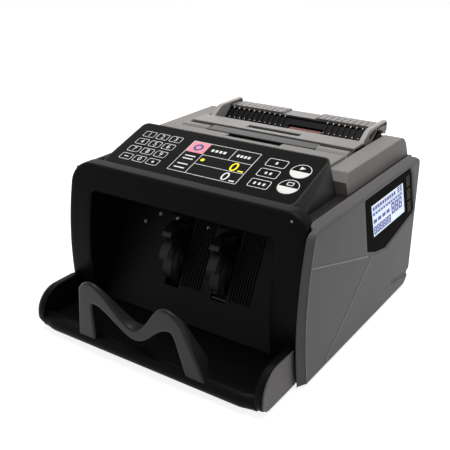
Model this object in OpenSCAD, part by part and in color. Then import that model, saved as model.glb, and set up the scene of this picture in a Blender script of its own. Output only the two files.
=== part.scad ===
// Desktop banknote counter: stacker tray in front, sloping key panel, hopper on top and a
// second display on the right-hand cover. Millimetres, front towards -Y, top towards +Z.
// Inside the modules Y counts back from the cheeks of the tray and Z up from the base.

/* [Body] */
// Width over the two side covers
body_w = 239.5; // [232:0.5:250]
// How much further than the left-hand cover the right-hand one stands out
side_out = 4.5; // [4.5:0.5:6]
// Depth from the tray to the outside of the rear cover
body_d = 263; // [258:1:275]
// Height of the flat faces of the side covers
cover_h = 126.5; // [124:0.5:132]
// Wall of the moulded covers
wall = 2.6; // [2.2:0.1:3]
// Radius of the bowed fascia, seen from the side
bow_r = 293; // [280:1:340]
// Radius of the bowed front rim of the right-hand cover
rim_bow_r = 380; // [300:5:600]
// Rounding between the front and the sides
corner_r = 5; // [4:0.5:6]
// Rounding of the lower rear corner of the side covers
heel_r = 15; // [8:1:20]
// Width of the sloping ledge on each side cover
ledge_w = 8; // [6:0.5:9]
// Rise of that ledge
ledge_rise = 4; // [2:0.5:5]
// Thickness of the base
base_t = 3; // [2.5:0.5:4]
// Height of the rubber feet under the base
foot_h = 3; // [2:0.5:5]
// Radius of a rubber foot
foot_r = 8; // [6:0.5:10]

/* [Front] */
// Depth of the tray in front of the fascia
tray_d = 46.5; // [45:0.5:48]
// Height of the fascia
fascia_h = 137; // [135:0.5:140]
// Rounding of its upper corners
brow_r = 20; // [12:1:22]
// Width of the stacker mouth
mouth_w = 182; // [176:1:186]
// Height of the stacker mouth
mouth_h = 115; // [112:0.5:116]
// Width of the tray over its cheeks
tray_w = 230; // [222:1:234]
// Thickness of the tray floor
floor_t = 8.4; // [7:0.2:10]
// Height of the front lip
lip_h = 13; // [11:0.5:16]
// How far the lip stands in front of the cheeks
lip_out = 2; // [0:0.5:4]
// Height of the cheeks
cheek_h = 34; // [28:1:38]
// Thickness of a cheek, without its grey plate
cheek_t = 6.4; // [5:0.2:8]
// Thickness of the grey cheek plate
cheek_plate_t = 1.5; // [1:0.1:2]
// Black rim left around the grey cheek plate
cheek_rim = 0.8; // [0.5:0.1:2]
// Rounding of the upper front corner of the cheeks
cheek_r = 22; // [16:1:23]
// Rounding of their lower front corner
toe_r = 10; // [6:1:11]
// Lean of the back plate from the upright
back_lean = 27; // [22:1:30]

/* [Note stop] */
// Width of the note stop over its feet
stop_w = 131; // [120:1:140]
// Height of the humps above the feet
stop_h = 57; // [48:1:62]
// Distance from the middle to a hump
hump_x = 37; // [33:1:40]
// Forward lean of its front face
stop_lean = 11; // [6:1:14]
// Depth of its legs at the knee
stop_d = 12; // [10:0.5:14]
// Height of the knee above the lip
stop_knee = 13; // [10:1:16]
// Depth of its feet on the lip
stop_foot_d = 9; // [8:0.5:10]

/* [Console] */
// Width of the panel overlay
panel_w = 186; // [178:1:190]
// Length of the overlay along its slope
panel_len = 61.5; // [58:0.5:64]
// Slope of the overlay
panel_slope = 18.6; // [16:0.2:21]
// Thickness of the overlay
overlay_t = 1.2; // [0.8:0.1:1.6]
// Width of the main display
screen_w = 68; // [60:1:74]
// Length of the main display along the slope
screen_len = 41; // [36:1:46]
// How far the flanks of the console spread at their foot
flare = 9; // [7:0.5:11]

/* [Top] */
// Rise of the rails above the flat faces of the covers
rail_rise = 17.9; // [16:0.1:20]
// Width of a rail
rail_w = 18; // [16:0.5:19]
// Width of the groove between a rail and the ledge
groove_w = 8; // [7:0.5:10]
// Rise of the strip behind the console above the covers' flat faces
strip_rise = 20.5; // [19:0.5:22]
// Depth of that strip
strip_d = 37; // [35:1:40]
// Length of the finger slots
slot_len = 56; // [44:1:64]
// Radius of the feed cover
feed_cover_r = 7.5; // [6.5:0.1:8]
// Radius of the pins of the feed cover
pin_r = 2.5; // [2:0.1:3]

/* [Hopper] */
// Depth of the front plate of the hopper
plate_d = 23.5; // [22:0.5:26]
// Depth of the open well from the front plate to the rear land
well_d = 36; // [34:0.5:40]
// Height of the rear land above the covers' flat faces
land_rise = 24; // [23:0.5:26]
// Depth of the rear land
land_d = 18; // [15:0.5:20]
// Distance from the middle to the inner face of a guide
guide_x = 78; // [75:0.5:79]
// Thickness of a guide
guide_t = 5; // [4:0.2:5.4]
// How far a guide slides inwards
guide_travel = 12; // [4:1:16]
// Ribs on the left half of the hopper bed
ribs = 11; // [7:1:13]

/* [Side display] */
// Length of the bezel
bezel_len = 117; // [112:1:118]
// Height of the bezel
bezel_h = 61.5; // [58:0.5:66]
// Thickness of the bezel
bezel_t = 1.4; // [1.2:0.1:1.6]
// How far the bezel lies below the cover's face
bezel_sink = 0.6; // [0.5:0.1:0.8]
// Travel of a side key
key_travel = 0.8; // [0.4:0.1:1]

/* [Drive] */
// Radius of the shafts
shaft_r = 4; // [3:0.25:5]
// Radius of the pick-up roller
pickup_r = 16; // [14:0.5:17]
// Width of the pick-up roller
pickup_w = 35; // [24:1:36]
// Radius of the feed rollers
feed_r = 14; // [12:0.5:15]
// Radius of the retard roller
retard_r = 9.5; // [8:0.5:10]
// Radius of the transport rollers
transport_r = 12; // [10:0.5:13]
// Radius of the idler rollers
idler_r = 9; // [7:0.5:10]
// Radius of a stacker wheel
wheel_r = 39; // [34:1:41]
// Width of a stacker wheel
wheel_w = 9; // [6:0.5:11]
// Distance from the middle to a stacker wheel
wheel_x = 24.5; // [20:0.5:34]
// Blades on a stacker wheel
blades = 12; // [8:1:16]
// Radius of the motor
motor_r = 17; // [14:0.5:19]
// Length of the motor
motor_len = 62; // [50:1:68]
// Width of the drive belts
belt_w = 5; // [4:0.5:5.5]
// Thickness of the drive belts
belt_t = 1.5; // [1.2:0.1:2]
// Thickness of the steel frame plates
frame_t = 2; // [1.5:0.1:2.5]

/* [Fits] */
// Radial clearance of a turning shaft
run_fit = 0.05; // [0.03:0.01:0.1]
// Radial clearance of a pressed hub
hub_fit = 0.02; // [0.01:0.01:0.05]
// Seam between two covers
seam = 0.3; // [0.2:0.1:0.5]
// Gap between a guide and what it slides over
slide_gap = 0.3; // [0.2:0.1:0.5]
// Gap between a belt and its pulleys, and between two rollers
belt_gap = 0.3; // [0.3:0.1:0.6]

/* [Hidden] */
$fn = 64;
fine = 180;
eps = 0.01;
black = "#1a1919";
dark_grey = "#383636";
grey = "#6b6968";
pale_grey = "#a29e9b";
steel = "silver";
rubber = "#7a5450";

left_x = (body_w - side_out) / 2;
right_x = left_x + side_out;
mid_x = (right_x - left_x) / 2;
left_in_x = left_x - wall;
right_in_x = right_x - wall;
ledge_x = right_x - ledge_w;
ledge_z = cover_h + ledge_rise;
rail_z = cover_h + rail_rise;
strip_z = cover_h + strip_rise;
land_z = cover_h + land_rise;
deck_z = cover_h + 1;
deck_t = 3.5;
console_rise = 8.5;
roof_drop = 9;
roof_z = deck_z - deck_t - roof_drop;
bow_z = fascia_h - 83;
bow_a = asin((fascia_h - bow_z + 4) / bow_r);
rim_bow_z = fascia_h - 53;

// Stations from front to rear
fascia_y = tray_d;
side_y = fascia_y + corner_r;
rim_y = fascia_y - 4.5;
console_y = fascia_y + 25;
panel_y = console_y + 1.5;
panel_z = deck_z + console_rise;
panel_rear_y = panel_y + panel_len * cos(panel_slope);
console_rear_y = panel_rear_y + 3;
strip_y = console_rear_y + seam;
cover_y = strip_y + strip_d + feed_cover_r + 3;
plate_y = cover_y + feed_cover_r + 3;
well_y = plate_y + plate_d;
land_y = well_y + well_d;
rear_in_y = body_d - wall;
hook_t = 2;
hopper_rear_y = land_y + land_d + slide_gap + hook_t;

// The front reach is a hump of the note stop, the rear reach is the hook of a guide
stop_y = -lip_out + 0.5;
stop_top_y = stop_y - stop_h * sin(stop_lean);
mid_y = (stop_top_y + hopper_rear_y) / 2;

// Across the top, from the ledge inwards
groove_x = ledge_x - 0.4;
rail_foot_x = ledge_x - 5;
rail_out_x = ledge_x - groove_w;
rail_in_x = rail_out_x - rail_w;
bed_x = rail_in_x - 2;
frame_x = rail_in_x + 8;
frame_out_x = frame_x + frame_t;
pulley_x = frame_out_x + 1.2;
pulley_w = belt_w + 1;
pulley2_x = pulley_x + pulley_w + 0.8;
shaft_end_x = pulley2_x + pulley_w;

// The hopper bed, drawn in Y, Z, slopes up from the feed slot to the rear land
bed_t = 2.4;
bed_foot_y = well_y + 6;
bed_foot_z = cover_h - 2.5;
bed_top_z = land_z - 2.6;
bed_angle = atan2(bed_top_z - bed_foot_z, land_y - bed_foot_y);
bed_len = (land_y - bed_foot_y) / cos(bed_angle);

// Shaft places, as [Y, Z]
pickup_out = 3;
pickup_along = 16;
pickup_c = [bed_foot_y + pickup_along * cos(bed_angle) + (pickup_r - pickup_out) * sin(bed_angle),
    bed_foot_z + pickup_along * sin(bed_angle) - (pickup_r - pickup_out) * cos(bed_angle)];
nip = [well_y - 6, cover_h - 14.5];
nip_angle = 53;
feed_c = nip + (feed_r + belt_gap) * [cos(nip_angle), -sin(nip_angle)];
retard_c = nip - (retard_r + belt_gap) * [cos(nip_angle), -sin(nip_angle)];
nip2 = nip - [50, 22];
nip2_angle = 66;
transport_c = nip2 + (transport_r + belt_gap) * [cos(nip2_angle), -sin(nip2_angle)];
idler_c = nip2 - (idler_r + belt_gap) * [cos(nip2_angle), -sin(nip2_angle)];
back_y = fascia_y + 15.5;
tray_rear_y = back_y + 2;
stacker_c = [back_y + wheel_r + 3, wheel_r + 25];
motor_c = [feed_c[0] + 3, base_t + motor_r + 22];
shaft_places = [pickup_c, feed_c, transport_c, idler_c, stacker_c];

// Pulley radii: feed and motor 2:1, feed and pick-up 1:1, feed and transport 1:1, transport and stacker 1:3
motor_pulley_r = 8;
feed_pulley_r = 16;
small_pulley_r = 9;
stacker_pulley_r = 27;

// Puts the whole machine with its feet on Z = 0 and its middle over the origin. Inside the modules X counts
// from the middle of the fascia.
module in_frame() {
    translate([-mid_x, -mid_y, foot_h]) children();
}

// Extrudes an outline drawn in Y, Z from x0 to x1
module along_x(x0, x1) {
    translate([x0, 0, 0]) rotate([90, 0, 90]) linear_extrude(x1 - x0) children();
}

// Extrudes an outline drawn in X, Z from y0 to y1
module along_y(y0, y1) {
    translate([0, y1, 0]) rotate([90, 0, 0]) linear_extrude(y1 - y0) children();
}

// A round bar along X about the axis c = [Y, Z]
module bar(x0, x1, r, c) {
    translate([x0, c[0], c[1]]) rotate([0, 90, 0]) cylinder(h = x1 - x0, r = r);
}

// A round bar along Y
module peg(x, z, y0, y1, r) {
    translate([x, y1, z]) rotate([90, 0, 0]) cylinder(h = y1 - y0, r = r);
}

module block(x0, x1, y0, y1, z0, z1) {
    translate([x0, y0, z0]) cube([x1 - x0, y1 - y0, z1 - z0]);
}

module both_sides() {
    children();
    mirror([1, 0, 0]) children();
}

module round_rect(x0, y0, x1, y1, r) {
    translate([x0 + r, y0]) square([x1 - x0 - 2 * r, y1 - y0]);
    translate([x0, y0 + r]) square([x1 - x0, y1 - y0 - 2 * r]);
    for (x = [x0 + r, x1 - r], y = [y0 + r, y1 - r])
        translate([x, y]) circle(r = r);
}

// Base and feet
foot_x = right_x - 24;
foot_front_y = console_y + 0.5;
foot_rear_y = body_d - heel_r - foot_r - 3;

module base_pan() {
    rim_h = 9;
    color(dark_grey) in_frame() difference() {
        union() {
            block(-left_in_x, right_in_x, tray_rear_y, body_d - heel_r, 0, base_t);
            block(-left_in_x, wall - left_in_x, tray_rear_y, body_d - heel_r, 0, rim_h);
            block(right_in_x - wall, right_in_x, tray_rear_y, body_d - heel_r, 0, rim_h);
            both_sides() block(pocket_x + 2 * seam + pocket_t, groove_x, side_y + 7, tray_rear_y + eps, 0, base_t);
        }
        for (i = [0:9])
            block(-40, 40, back_y + 60 + 8 * i, back_y + 63 + 8 * i, -1, base_t + 1);
    }
}

module rubber_feet() {
    color("#222222") in_frame()
        for (x = [-foot_x, foot_x], y = [foot_front_y, foot_rear_y])
            translate([x, y, -foot_h]) cylinder(h = foot_h, r = foot_r);
}

// Side covers: flat walls with a bowed front edge of radius r about c = [Y, Z], and a sloping ledge on top
module side_outline(r, c) {
    y0 = c[0] - r;
    intersection() {
        translate(c) circle(r = r, $fn = fine);
        union() {
            translate([y0, 0]) square([body_d - heel_r - y0, cover_h]);
            translate([y0, heel_r]) square([body_d - y0, cover_h - heel_r]);
            translate([body_d - heel_r, heel_r]) circle(r = heel_r);
        }
    }
}

module ledge(x, r, c) {
    intersection() {
        along_y(0, body_d)
            polygon([[x, cover_h - eps], [ledge_x, ledge_z], [ledge_x, ledge_z - wall],
                [x - wall, cover_h - wall], [x - wall, cover_h - 2 * wall], [x, cover_h - 2 * wall]]);
        bar(0, x, r, c, $fn = fine);
    }
}

module left_side_cover() {
    c = [side_y + bow_r, bow_z];
    color(grey) in_frame() mirror([1, 0, 0]) {
        along_x(left_in_x, left_x) side_outline(bow_r, c);
        ledge(left_x, bow_r, c);
    }
}

// The right-hand cover stands out past the fascia and closes the step with a rim along its front edge
module right_side_cover() {
    rim_d = 7;
    c = [rim_y + rim_bow_r, rim_bow_z];
    color(grey) in_frame() difference() {
        union() {
            along_x(right_in_x, right_x) side_outline(rim_bow_r, c);
            along_x(left_x + seam, right_in_x + eps) difference() {
                side_outline(rim_bow_r, c);
                translate(c) circle(r = rim_bow_r - rim_d, $fn = fine);
                translate([0, cover_h - 2 * wall]) square([body_d, cover_h]);
                square([body_d, base_t]);
            }
            ledge(right_x, rim_bow_r, c);
        }
        along_x(bezel_x - bezel_t, right_x + 1) bezel_outline();
        along_x(right_in_x - 1, right_x) glass_outline();
        for (i = [0:keys - 1])
            along_x(right_in_x - 1, right_x) key_outline(i, 0.2);
    }
}

// Second display, drawn in Y, Z on the right-hand cover
bezel_y = body_d - 4.5;
bezel_z = cover_h - 3.3;
bezel_x = right_x - bezel_sink;
glass_margin = 14;
key_strip = 34;
glass_len = bezel_len - glass_margin - key_strip;
glass_h = 32;
glass_skew = 12;
keys = 3;
key_h = 11.6;
key_len = 9;
key_pitch = 13.8;
key_top = 5.4;

module bezel_outline() {
    y0 = bezel_y - bezel_len;
    translate([y0, bezel_z - bezel_h])
        polygon([[0, bezel_h], [bezel_len - 20, bezel_h], [bezel_len - 15, bezel_h - 6],
            [bezel_len, 16], [bezel_len - 3, 12.5], [53, 0], [31, 4.5], [14, 11]]);
}

module glass_outline(grow = 0) {
    y0 = bezel_y - bezel_len + glass_margin;
    z0 = bezel_z - 9.5 - glass_h;
    translate([y0, z0])
        polygon([[-grow, glass_h + grow], [glass_len, glass_h + grow],
            [glass_len + glass_skew + grow, -grow], [glass_skew - grow, -grow]]);
}

module key_outline(i, grow = 0) {
    z0 = bezel_z - key_top - i * key_pitch - key_h;
    y0 = bezel_y - key_strip + 3.2 + (i * key_pitch + key_h) * glass_skew / glass_h;
    lean = key_h * glass_skew / glass_h;
    translate([y0, z0])
        polygon([[-grow, -grow], [key_len + grow, -grow],
            [key_len - lean + grow, key_h + grow], [-lean - grow, key_h + grow]]);
}

module side_display_bezel() {
    color(black) in_frame() difference() {
        along_x(bezel_x - bezel_t, bezel_x) bezel_outline();
        along_x(right_in_x - 1, right_x) glass_outline();
        for (i = [0:keys - 1])
            along_x(right_in_x - 1, right_x) key_outline(i, 0.2);
    }
}

module side_display_glass() {
    color("#eaf6ff") in_frame() {
        along_x(right_in_x, bezel_x - 0.3) glass_outline();
        along_x(right_in_x - 2.5, right_in_x) glass_outline(2.5);
    }
}

module side_key(i) {
    color("#2c2b28") in_frame() along_x(right_in_x, right_x - 0.1) key_outline(i);
}

module side_key_board() {
    z1 = bezel_z - key_top + 0.8;
    board_h = (keys - 1) * key_pitch + key_h + 1.6;
    board_w = key_len + 6;
    slant = glass_skew / glass_h;
    y0 = bezel_y - key_strip + 1.6;
    x1 = right_in_x - key_travel - 0.15;
    color("#2c5a3a") in_frame() {
        along_x(x1 - 1.6, x1) translate([y0, z1])
            polygon([[0, 0], [board_w, 0], [board_w + board_h * slant, -board_h], [board_h * slant, -board_h]]);
        for (d = [1.6, board_h - 1.6])
            bar(x1 - eps, right_in_x, 1.2, [y0 + board_w - 2 + d * slant, z1 - d]);
    }
}

// Fascia: a shell turned about the axis of the bow, trimmed to its front outline
module fascia_section(g) {
    x = left_x - g;
    r = corner_r - g;
    d = console_y - fascia_y + 6;
    union() {
        translate([bow_r - d, -x]) square([d - g - r, 2 * x]);
        translate([bow_r - d, r - x]) square([d - g, 2 * (x - r)]);
        for (s = [-1, 1])
            translate([bow_r - g - r, s * (x - r)]) circle(r = r);
    }
}

module fascia_front(g) {
    x = left_x - g;
    z = fascia_h - g;
    r = brow_r - g;
    translate([-x, -g]) square([2 * x, z - r + g]);
    translate([r - x, -g]) square([2 * (x - r), z + g]);
    for (s = [-1, 1])
        translate([s * (x - r), z - r]) circle(r = r);
}

module fascia_solid(g) {
    intersection() {
        translate([0, fascia_y + bow_r, bow_z]) rotate([0, 90, 0]) rotate([0, 0, -90 - bow_a])
            rotate_extrude(angle = 2 * bow_a, $fn = fine) fascia_section(g);
        along_y(fascia_y - 1, console_y - seam) fascia_front(g);
    }
}

module front_fascia() {
    mouth_r = 5;
    rib_x = 70;
    color(black) in_frame() both_sides() {
        block(rib_x, rib_x + wall, console_y - 9, console_y - seam, roof_z + pocket_t, fascia_h - wall / 2);
        block(rib_x, rib_x + wall, console_y - 1, console_y + 1, roof_z + pocket_t, deck_z - seam);
    }
    color(black) in_frame() difference() {
        fascia_solid(0);
        fascia_solid(wall);
        // mouth of the stacker pocket
        along_y(fascia_y - 1, side_y + 8) {
            round_rect(-mouth_w / 2, 20, mouth_w / 2, mouth_h, mouth_r);
            translate([-mouth_w / 2, -1]) square([mouth_w, mouth_h - 20]);
        }
        // room for the left-hand cover and for the two ledges
        mirror([1, 0, 0]) bar(ledge_x - 0.5, left_x + 1, bow_r + seam, [side_y + bow_r, bow_z], $fn = fine);
        block(ledge_x - 0.5, right_x, fascia_y - 1, console_y, cover_h + 0.5, cover_h + fascia_h);
        // open underside behind the jambs
        block(-right_x, right_x, side_y + 6, console_y + 1, -1, roof_z + wall + 1);
    }
}

// Pocket behind the mouth
pocket_x = mouth_w / 2;
pocket_t = 2.4;
back_t = 2;
back_z = floor_t + back_t * sin(back_lean) + 0.1;
back_len = (roof_z - back_z) / cos(back_lean) - 0.2;
back_top_y = back_y + back_len * sin(back_lean);

// The space behind the fascia's front wall, drawn in Y, Z
module behind_front() {
    translate([fascia_y + bow_r, bow_z]) circle(r = bow_r - wall - seam, $fn = fine);
}

module stacker_pocket() {
    color(black) in_frame() {
        both_sides() along_x(pocket_x + seam, pocket_x + seam + pocket_t) difference() {
            intersection() {
                behind_front();
                polygon([[fascia_y, base_t], [back_y + 14, base_t], [back_top_y + 6, roof_z - 4],
                    [back_top_y + 6, roof_z + pocket_t], [fascia_y, roof_z + pocket_t]]);
            }
            translate(stacker_c) circle(r = bush_r + 3);
        }
        along_x(-pocket_x - seam - eps, pocket_x + seam + eps) intersection() {
            behind_front();
            translate([fascia_y, roof_z]) square([back_top_y + 6 - fascia_y, pocket_t]);
        }
    }
}

module stacker_back_plate() {
    slot_w = wheel_w + 6;
    wheel_slot = 2 * wheel_r + 4;
    wheel_along = (stacker_c[0] - back_y) * sin(back_lean) + (stacker_c[1] - back_z) * cos(back_lean);
    color("#121212") in_frame() translate([0, back_y, back_z]) rotate([-back_lean, 0, 0]) difference() {
        block(-pocket_x - seam, pocket_x + seam, 0, back_t, 0, back_len);
        both_sides() block(wheel_x - slot_w / 2, wheel_x + slot_w / 2, -1, back_t + 1,
            wheel_along - wheel_slot / 2, wheel_along + wheel_slot / 2);
    }
}

// Tray: floor with a rounded lip, between two cheeks
tray_x = tray_w / 2;

module lip_outline(grow = 0) {
    r = lip_h / 2;
    translate([r - lip_out, r]) circle(r = r + grow);
    translate([r - lip_out, 0]) square([6, lip_h]);
    translate([r - lip_out, 0]) square([30, floor_t]);
}

function arc(c, r, a0, a1, n = 12) =
    [for (i = [0:n]) c + r * [cos(a0 + (a1 - a0) * i / n), sin(a0 + (a1 - a0) * i / n)]];

module cheek_outline(g) {
    rear_y = side_y + 20;
    polygon(concat(arc([toe_r, toe_r], toe_r - g, 270, 180), arc([cheek_r, cheek_h - cheek_r], cheek_r - g, 180, 90),
        [[rear_y, cheek_h - g], [rear_y, g]]));
}

module stacker_tray() {
    cheek_x = tray_x - cheek_plate_t;
    color(black) in_frame() {
        difference() {
            union() {
                along_x(-cheek_x + 1, cheek_x - 1) lip_outline();
                block(-cheek_x + 1, cheek_x - 1, 10, 60, 0, floor_t);
                both_sides() along_x(cheek_x - cheek_t, cheek_x) cheek_outline(0);
            }
            bar(-right_x, right_x, bow_r + seam, [fascia_y + bow_r, bow_z], $fn = fine);
        }
        block(-pocket_x + seam, pocket_x - seam, fascia_y - 4, tray_rear_y, 0, floor_t);
    }
}

module tray_cheek() {
    along_x(tray_x - cheek_plate_t, tray_x) difference() {
        cheek_outline(cheek_rim);
        translate([fascia_y + bow_r, bow_z]) circle(r = bow_r + 2, $fn = fine);
    }
}

module left_tray_cheek() {
    color(grey) in_frame() mirror([1, 0, 0]) tray_cheek();
}

module right_tray_cheek() {
    color(grey) in_frame() tray_cheek();
}

// Note stop: a two-humped outline, cut to a wedge that leans forward
dip_h = stop_h - 32;
arch_h = stop_h - 21;
sag_h = stop_h - 43.5;
leg_in_x = stop_w / 2 - 20;

function wave(x, low, high) = low + (high - low) * (1 - cos(180 * x / hump_x)) / 2;

module stop_outline() {
    shoulder_x = stop_w / 2 - 14.5;
    top = [for (x = [0:hump_x / 12:hump_x + eps]) [x, wave(x, dip_h, stop_h)]];
    under = [for (x = [hump_x:-hump_x / 12:-eps]) [x * (leg_in_x - 7) / hump_x, wave(x, sag_h, arch_h)]];
    half = concat(top, [[hump_x + 5, stop_h - 0.8], [hump_x + 10, stop_h - 3.5], [shoulder_x, stop_h - 8.5],
        [stop_w / 2, 0], [stop_w / 2, -lip_h / 2], [leg_in_x, -lip_h / 2], [leg_in_x, 0],
        [leg_in_x - 4, arch_h - 6]], under);
    polygon(concat(half, [for (i = [len(half) - 2:-1:1]) [-half[i][0], half[i][1]]]));
}

module note_stop() {
    hump_t = 4;
    reach = stop_y - stop_top_y;
    color(dark_grey) in_frame() difference() {
        intersection() {
            along_y(stop_top_y - 1, stop_y + stop_d + 1) translate([0, lip_h]) stop_outline();
            along_x(-stop_w, stop_w) translate([stop_y, lip_h])
                polygon([[1, -lip_h / 2], [0, 0], [-reach, stop_h], [hump_t - reach, stop_h],
                    [stop_d, stop_knee], [stop_foot_d, 0], [stop_foot_d, -lip_h / 2]]);
        }
        along_x(-stop_w, stop_w) lip_outline(hub_fit);
    }
}

// Console: a wedge that spreads at its foot, with a recess for the overlay
module panel_place() {
    translate([0, panel_y, panel_z]) rotate([panel_slope, 0, 0]) children();
}

module console_shape(g) {
    panel_rim = 1.6 - g;
    foot_x = panel_w / 2 + flare - g;
    hull() {
        panel_place() translate([0, 0, -1 - g]) linear_extrude(1)
            round_rect(-panel_w / 2 - panel_rim, -panel_rim, panel_w / 2 + panel_rim, panel_len + panel_rim, 6,
                $fn = 32);
        translate([0, 0, deck_z - g]) linear_extrude(1)
            round_rect(-foot_x, console_y + seam + g, foot_x, console_rear_y - g, 8, $fn = 32);
    }
}

module console_housing() {
    color(dark_grey) in_frame() difference() {
        console_shape(0);
        console_shape(wall);
        panel_place() translate([0, 0, -overlay_t]) linear_extrude(overlay_t + 1)
            round_rect(-panel_w / 2, 0, panel_w / 2, panel_len, 5);
        screen_hole(0.2, -wall - 2);
    }
}

module screen_hole(grow, z) {
    panel_place() translate([-screen_w / 2 - grow, (panel_len - screen_len) / 2 - grow, z])
        cube([screen_w + 2 * grow, screen_len + 2 * grow, 10]);
}

module panel_overlay() {
    color("#050505") in_frame() difference() {
        panel_place() translate([0, 0, -overlay_t]) linear_extrude(overlay_t)
            round_rect(-panel_w / 2, 0, panel_w / 2, panel_len, 5);
        screen_hole(0, -5);
    }
}

display_t = 5;

module main_display() {
    color("#202022") in_frame() panel_place()
        translate([-screen_w / 2, (panel_len - screen_len) / 2, -display_t])
            cube([screen_w, screen_len, display_t - 0.15]);
}

module console_board() {
    color("#2c5a3a") in_frame() panel_place()
        translate([-screen_w / 2 - 12, (panel_len - screen_len) / 2 - 2, -display_t - 1.6])
            cube([screen_w + 24, screen_len + 4, 1.6]);
}

// Top housing: two rails on a deck, joined by the strip behind the console
rail_ramp_y = strip_y + 6;

module rail() {
    skin = 2;
    intersection() {
        along_y(console_y + 25, rear_in_y + 2)
            polygon([[rail_foot_x, deck_z], [rail_out_x, rail_z], [rail_in_x, rail_z],
                [rail_in_x, deck_z], [rail_in_x + skin, deck_z], [rail_in_x + skin, rail_z - skin],
                [rail_out_x - skin, rail_z - skin], [rail_foot_x - skin, deck_z]]);
        along_x(0, right_x)
            polygon([[console_rear_y + seam, 0], [body_d, 0], [body_d, rail_z], [rail_ramp_y, rail_z],
                [console_rear_y + seam, rail_z - 7]]);
    }
}

module top_housing() {
    finger_y = cover_y - feed_cover_r - 10;
    color(grey) in_frame() difference() {
        union() {
            both_sides() {
                rail();
                block(rail_foot_x - 3, groove_x, console_y + 1, rear_in_y + 2, deck_z - deck_t, deck_z + eps);
                block(rail_in_x + 4, groove_x, console_y + 1, plate_y, deck_z - deck_t, deck_z);
                block(rail_in_x, rail_out_x, rear_in_y - 1, rear_in_y + 2, deck_z - deck_t, rail_z);
            }
            block(-groove_x, groove_x, console_y + 1, console_y + 6, deck_z - deck_t, deck_z);
            block(-rail_in_x - 1, rail_in_x + 1, strip_y, strip_y + strip_d, rail_z - 2, strip_z);
            block(-rail_in_x - 1, rail_in_x + 1, strip_y, strip_y + 2, deck_z - 2, strip_z);
        }
        block(-slot_len / 2, slot_len / 2, finger_y, strip_y + strip_d + 1, cover_h, strip_z + 1);
        bar(-rail_in_x - 5, rail_in_x + 5, pin_r + run_fit, [cover_y, cover_z]);
        // room for the pick-up shaft under the rails
        bar(-frame_x, frame_x, shaft_r + 1, pickup_c);
    }
}

// Feed cover: a half-round bar on two end pins, with a flat grip in its middle
cover_z = strip_z - feed_cover_r;
grip_x = 57;
grip_t = 3;
cover_end_x = rail_in_x - 1;

module feed_cover() {
    color(pale_grey) in_frame() {
        difference() {
            intersection() {
                bar(-cover_end_x, cover_end_x, feed_cover_r, [cover_y, cover_z]);
                block(-right_x, right_x, 0, body_d, cover_z - 3, strip_z + 1);
            }
            block(-grip_x, grip_x, 0, body_d, strip_z - grip_t - 0.6, strip_z + 1);
        }
        both_sides() bar(cover_end_x - 1, rail_in_x + 2.4, pin_r, [cover_y, cover_z]);
    }
}

module feed_cover_grip() {
    color(dark_grey) in_frame()
        block(-grip_x, grip_x, cover_y - feed_cover_r, cover_y + feed_cover_r,
            strip_z - grip_t - 0.6, strip_z - 0.6);
}

// Hopper
module hopper_front_plate() {
    slot_d = 7;
    color(pale_grey) in_frame() difference() {
        union() {
            block(-bed_x, bed_x, plate_y, well_y, strip_z - 2.5, strip_z);
            block(-bed_x, bed_x, plate_y, plate_y + 2, strip_z - 8, strip_z);
        }
        block(-slot_len / 2, slot_len / 2, well_y - 10 - slot_d, well_y - 10, strip_z - 10, strip_z + 1);
    }
}

module bed_place() {
    translate([0, bed_foot_y, bed_foot_z]) rotate([bed_angle, 0, 0]) children();
}

rib_out = 1.2;
rib_len = 14;
rib_w = 1.6;
land_mid_x = 18;
rib_first_x = 13.4;
rib_end_x = guide_x - 3 - rib_w;
rib_pitch = (rib_end_x - rib_first_x) / (ribs - 1);
function rib_x(i) = rib_end_x - i * rib_pitch;

module rib(i) {
    bed_place() block(rib_x(i), rib_x(i) + rib_w, bed_len - rib_len, bed_len - 0.5, -eps, rib_out);
}

module hopper_bed() {
    bed_end_t = 2;
    shelf_z = strip_z - 2.5;
    ear_z = cover_h - 17;
    pad_x = pickup_x - pickup_w / 2 - 1.5;
    pad_end_x = pad_x + pickup_w + 3;
    shaft_room = 1;
    color("#161616") in_frame() difference() {
        union() {
            bed_place() block(-bed_x, bed_x, 0, bed_len, -bed_t, 0);
            for (i = [0:ribs - 1]) {
                mirror([1, 0, 0]) rib(i);
                if (rib_x(i) > pad_end_x) rib(i);
            }
            block(-bed_x, bed_x, land_y - 2, land_y + 4, bed_top_z - bed_t, bed_top_z);
            block(-bed_x, bed_x, well_y - 8, well_y, shelf_z - 2.4, shelf_z);
            block(-bed_x, bed_x, well_y - 2.4, well_y, cover_h, shelf_z);
            both_sides() along_x(bed_x - bed_end_t, bed_x)
                polygon([[well_y - 2.4, cover_h], [bed_foot_y + 8, ear_z], [land_y, ear_z], [land_y, bed_top_z - 1],
                    [bed_foot_y, bed_foot_z], [well_y, shelf_z - 1], [well_y - 2.4, shelf_z - 1]]);
            both_sides() block(bed_x - eps, frame_x, land_y - 7, land_y - 1, ear_z, ear_z + 4);
        }
        bed_place() block(pad_x, pad_end_x, -5, pickup_along + 13, -5, 5);
        bar(-bed_x - 1, bed_x + 1, shaft_r + shaft_room, pickup_c);
    }
}

module hopper_rear_land() {
    slit_w = 1;
    skirt_h = 9;
    color(pale_grey) in_frame() difference() {
        union() {
            block(-guide_x + 1, guide_x - 1, land_y, land_y + land_d, bed_top_z, land_z - 1.5);
            both_sides() block(land_mid_x, guide_x - 3, land_y, land_y + land_d, land_z - 1.5 - eps, land_z);
            block(-guide_x - guide_t, guide_x + guide_t, land_y + land_d - 2.4, land_y + land_d,
                land_z - skirt_h, bed_top_z + 1);
        }
        both_sides() for (i = [0:ribs - 2])
            block(rib_x(i) + 0.3, rib_x(i) + 0.3 + slit_w, land_y - 1, land_y + land_d - 5, land_z - 0.8, land_z + 1);
    }
}

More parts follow.
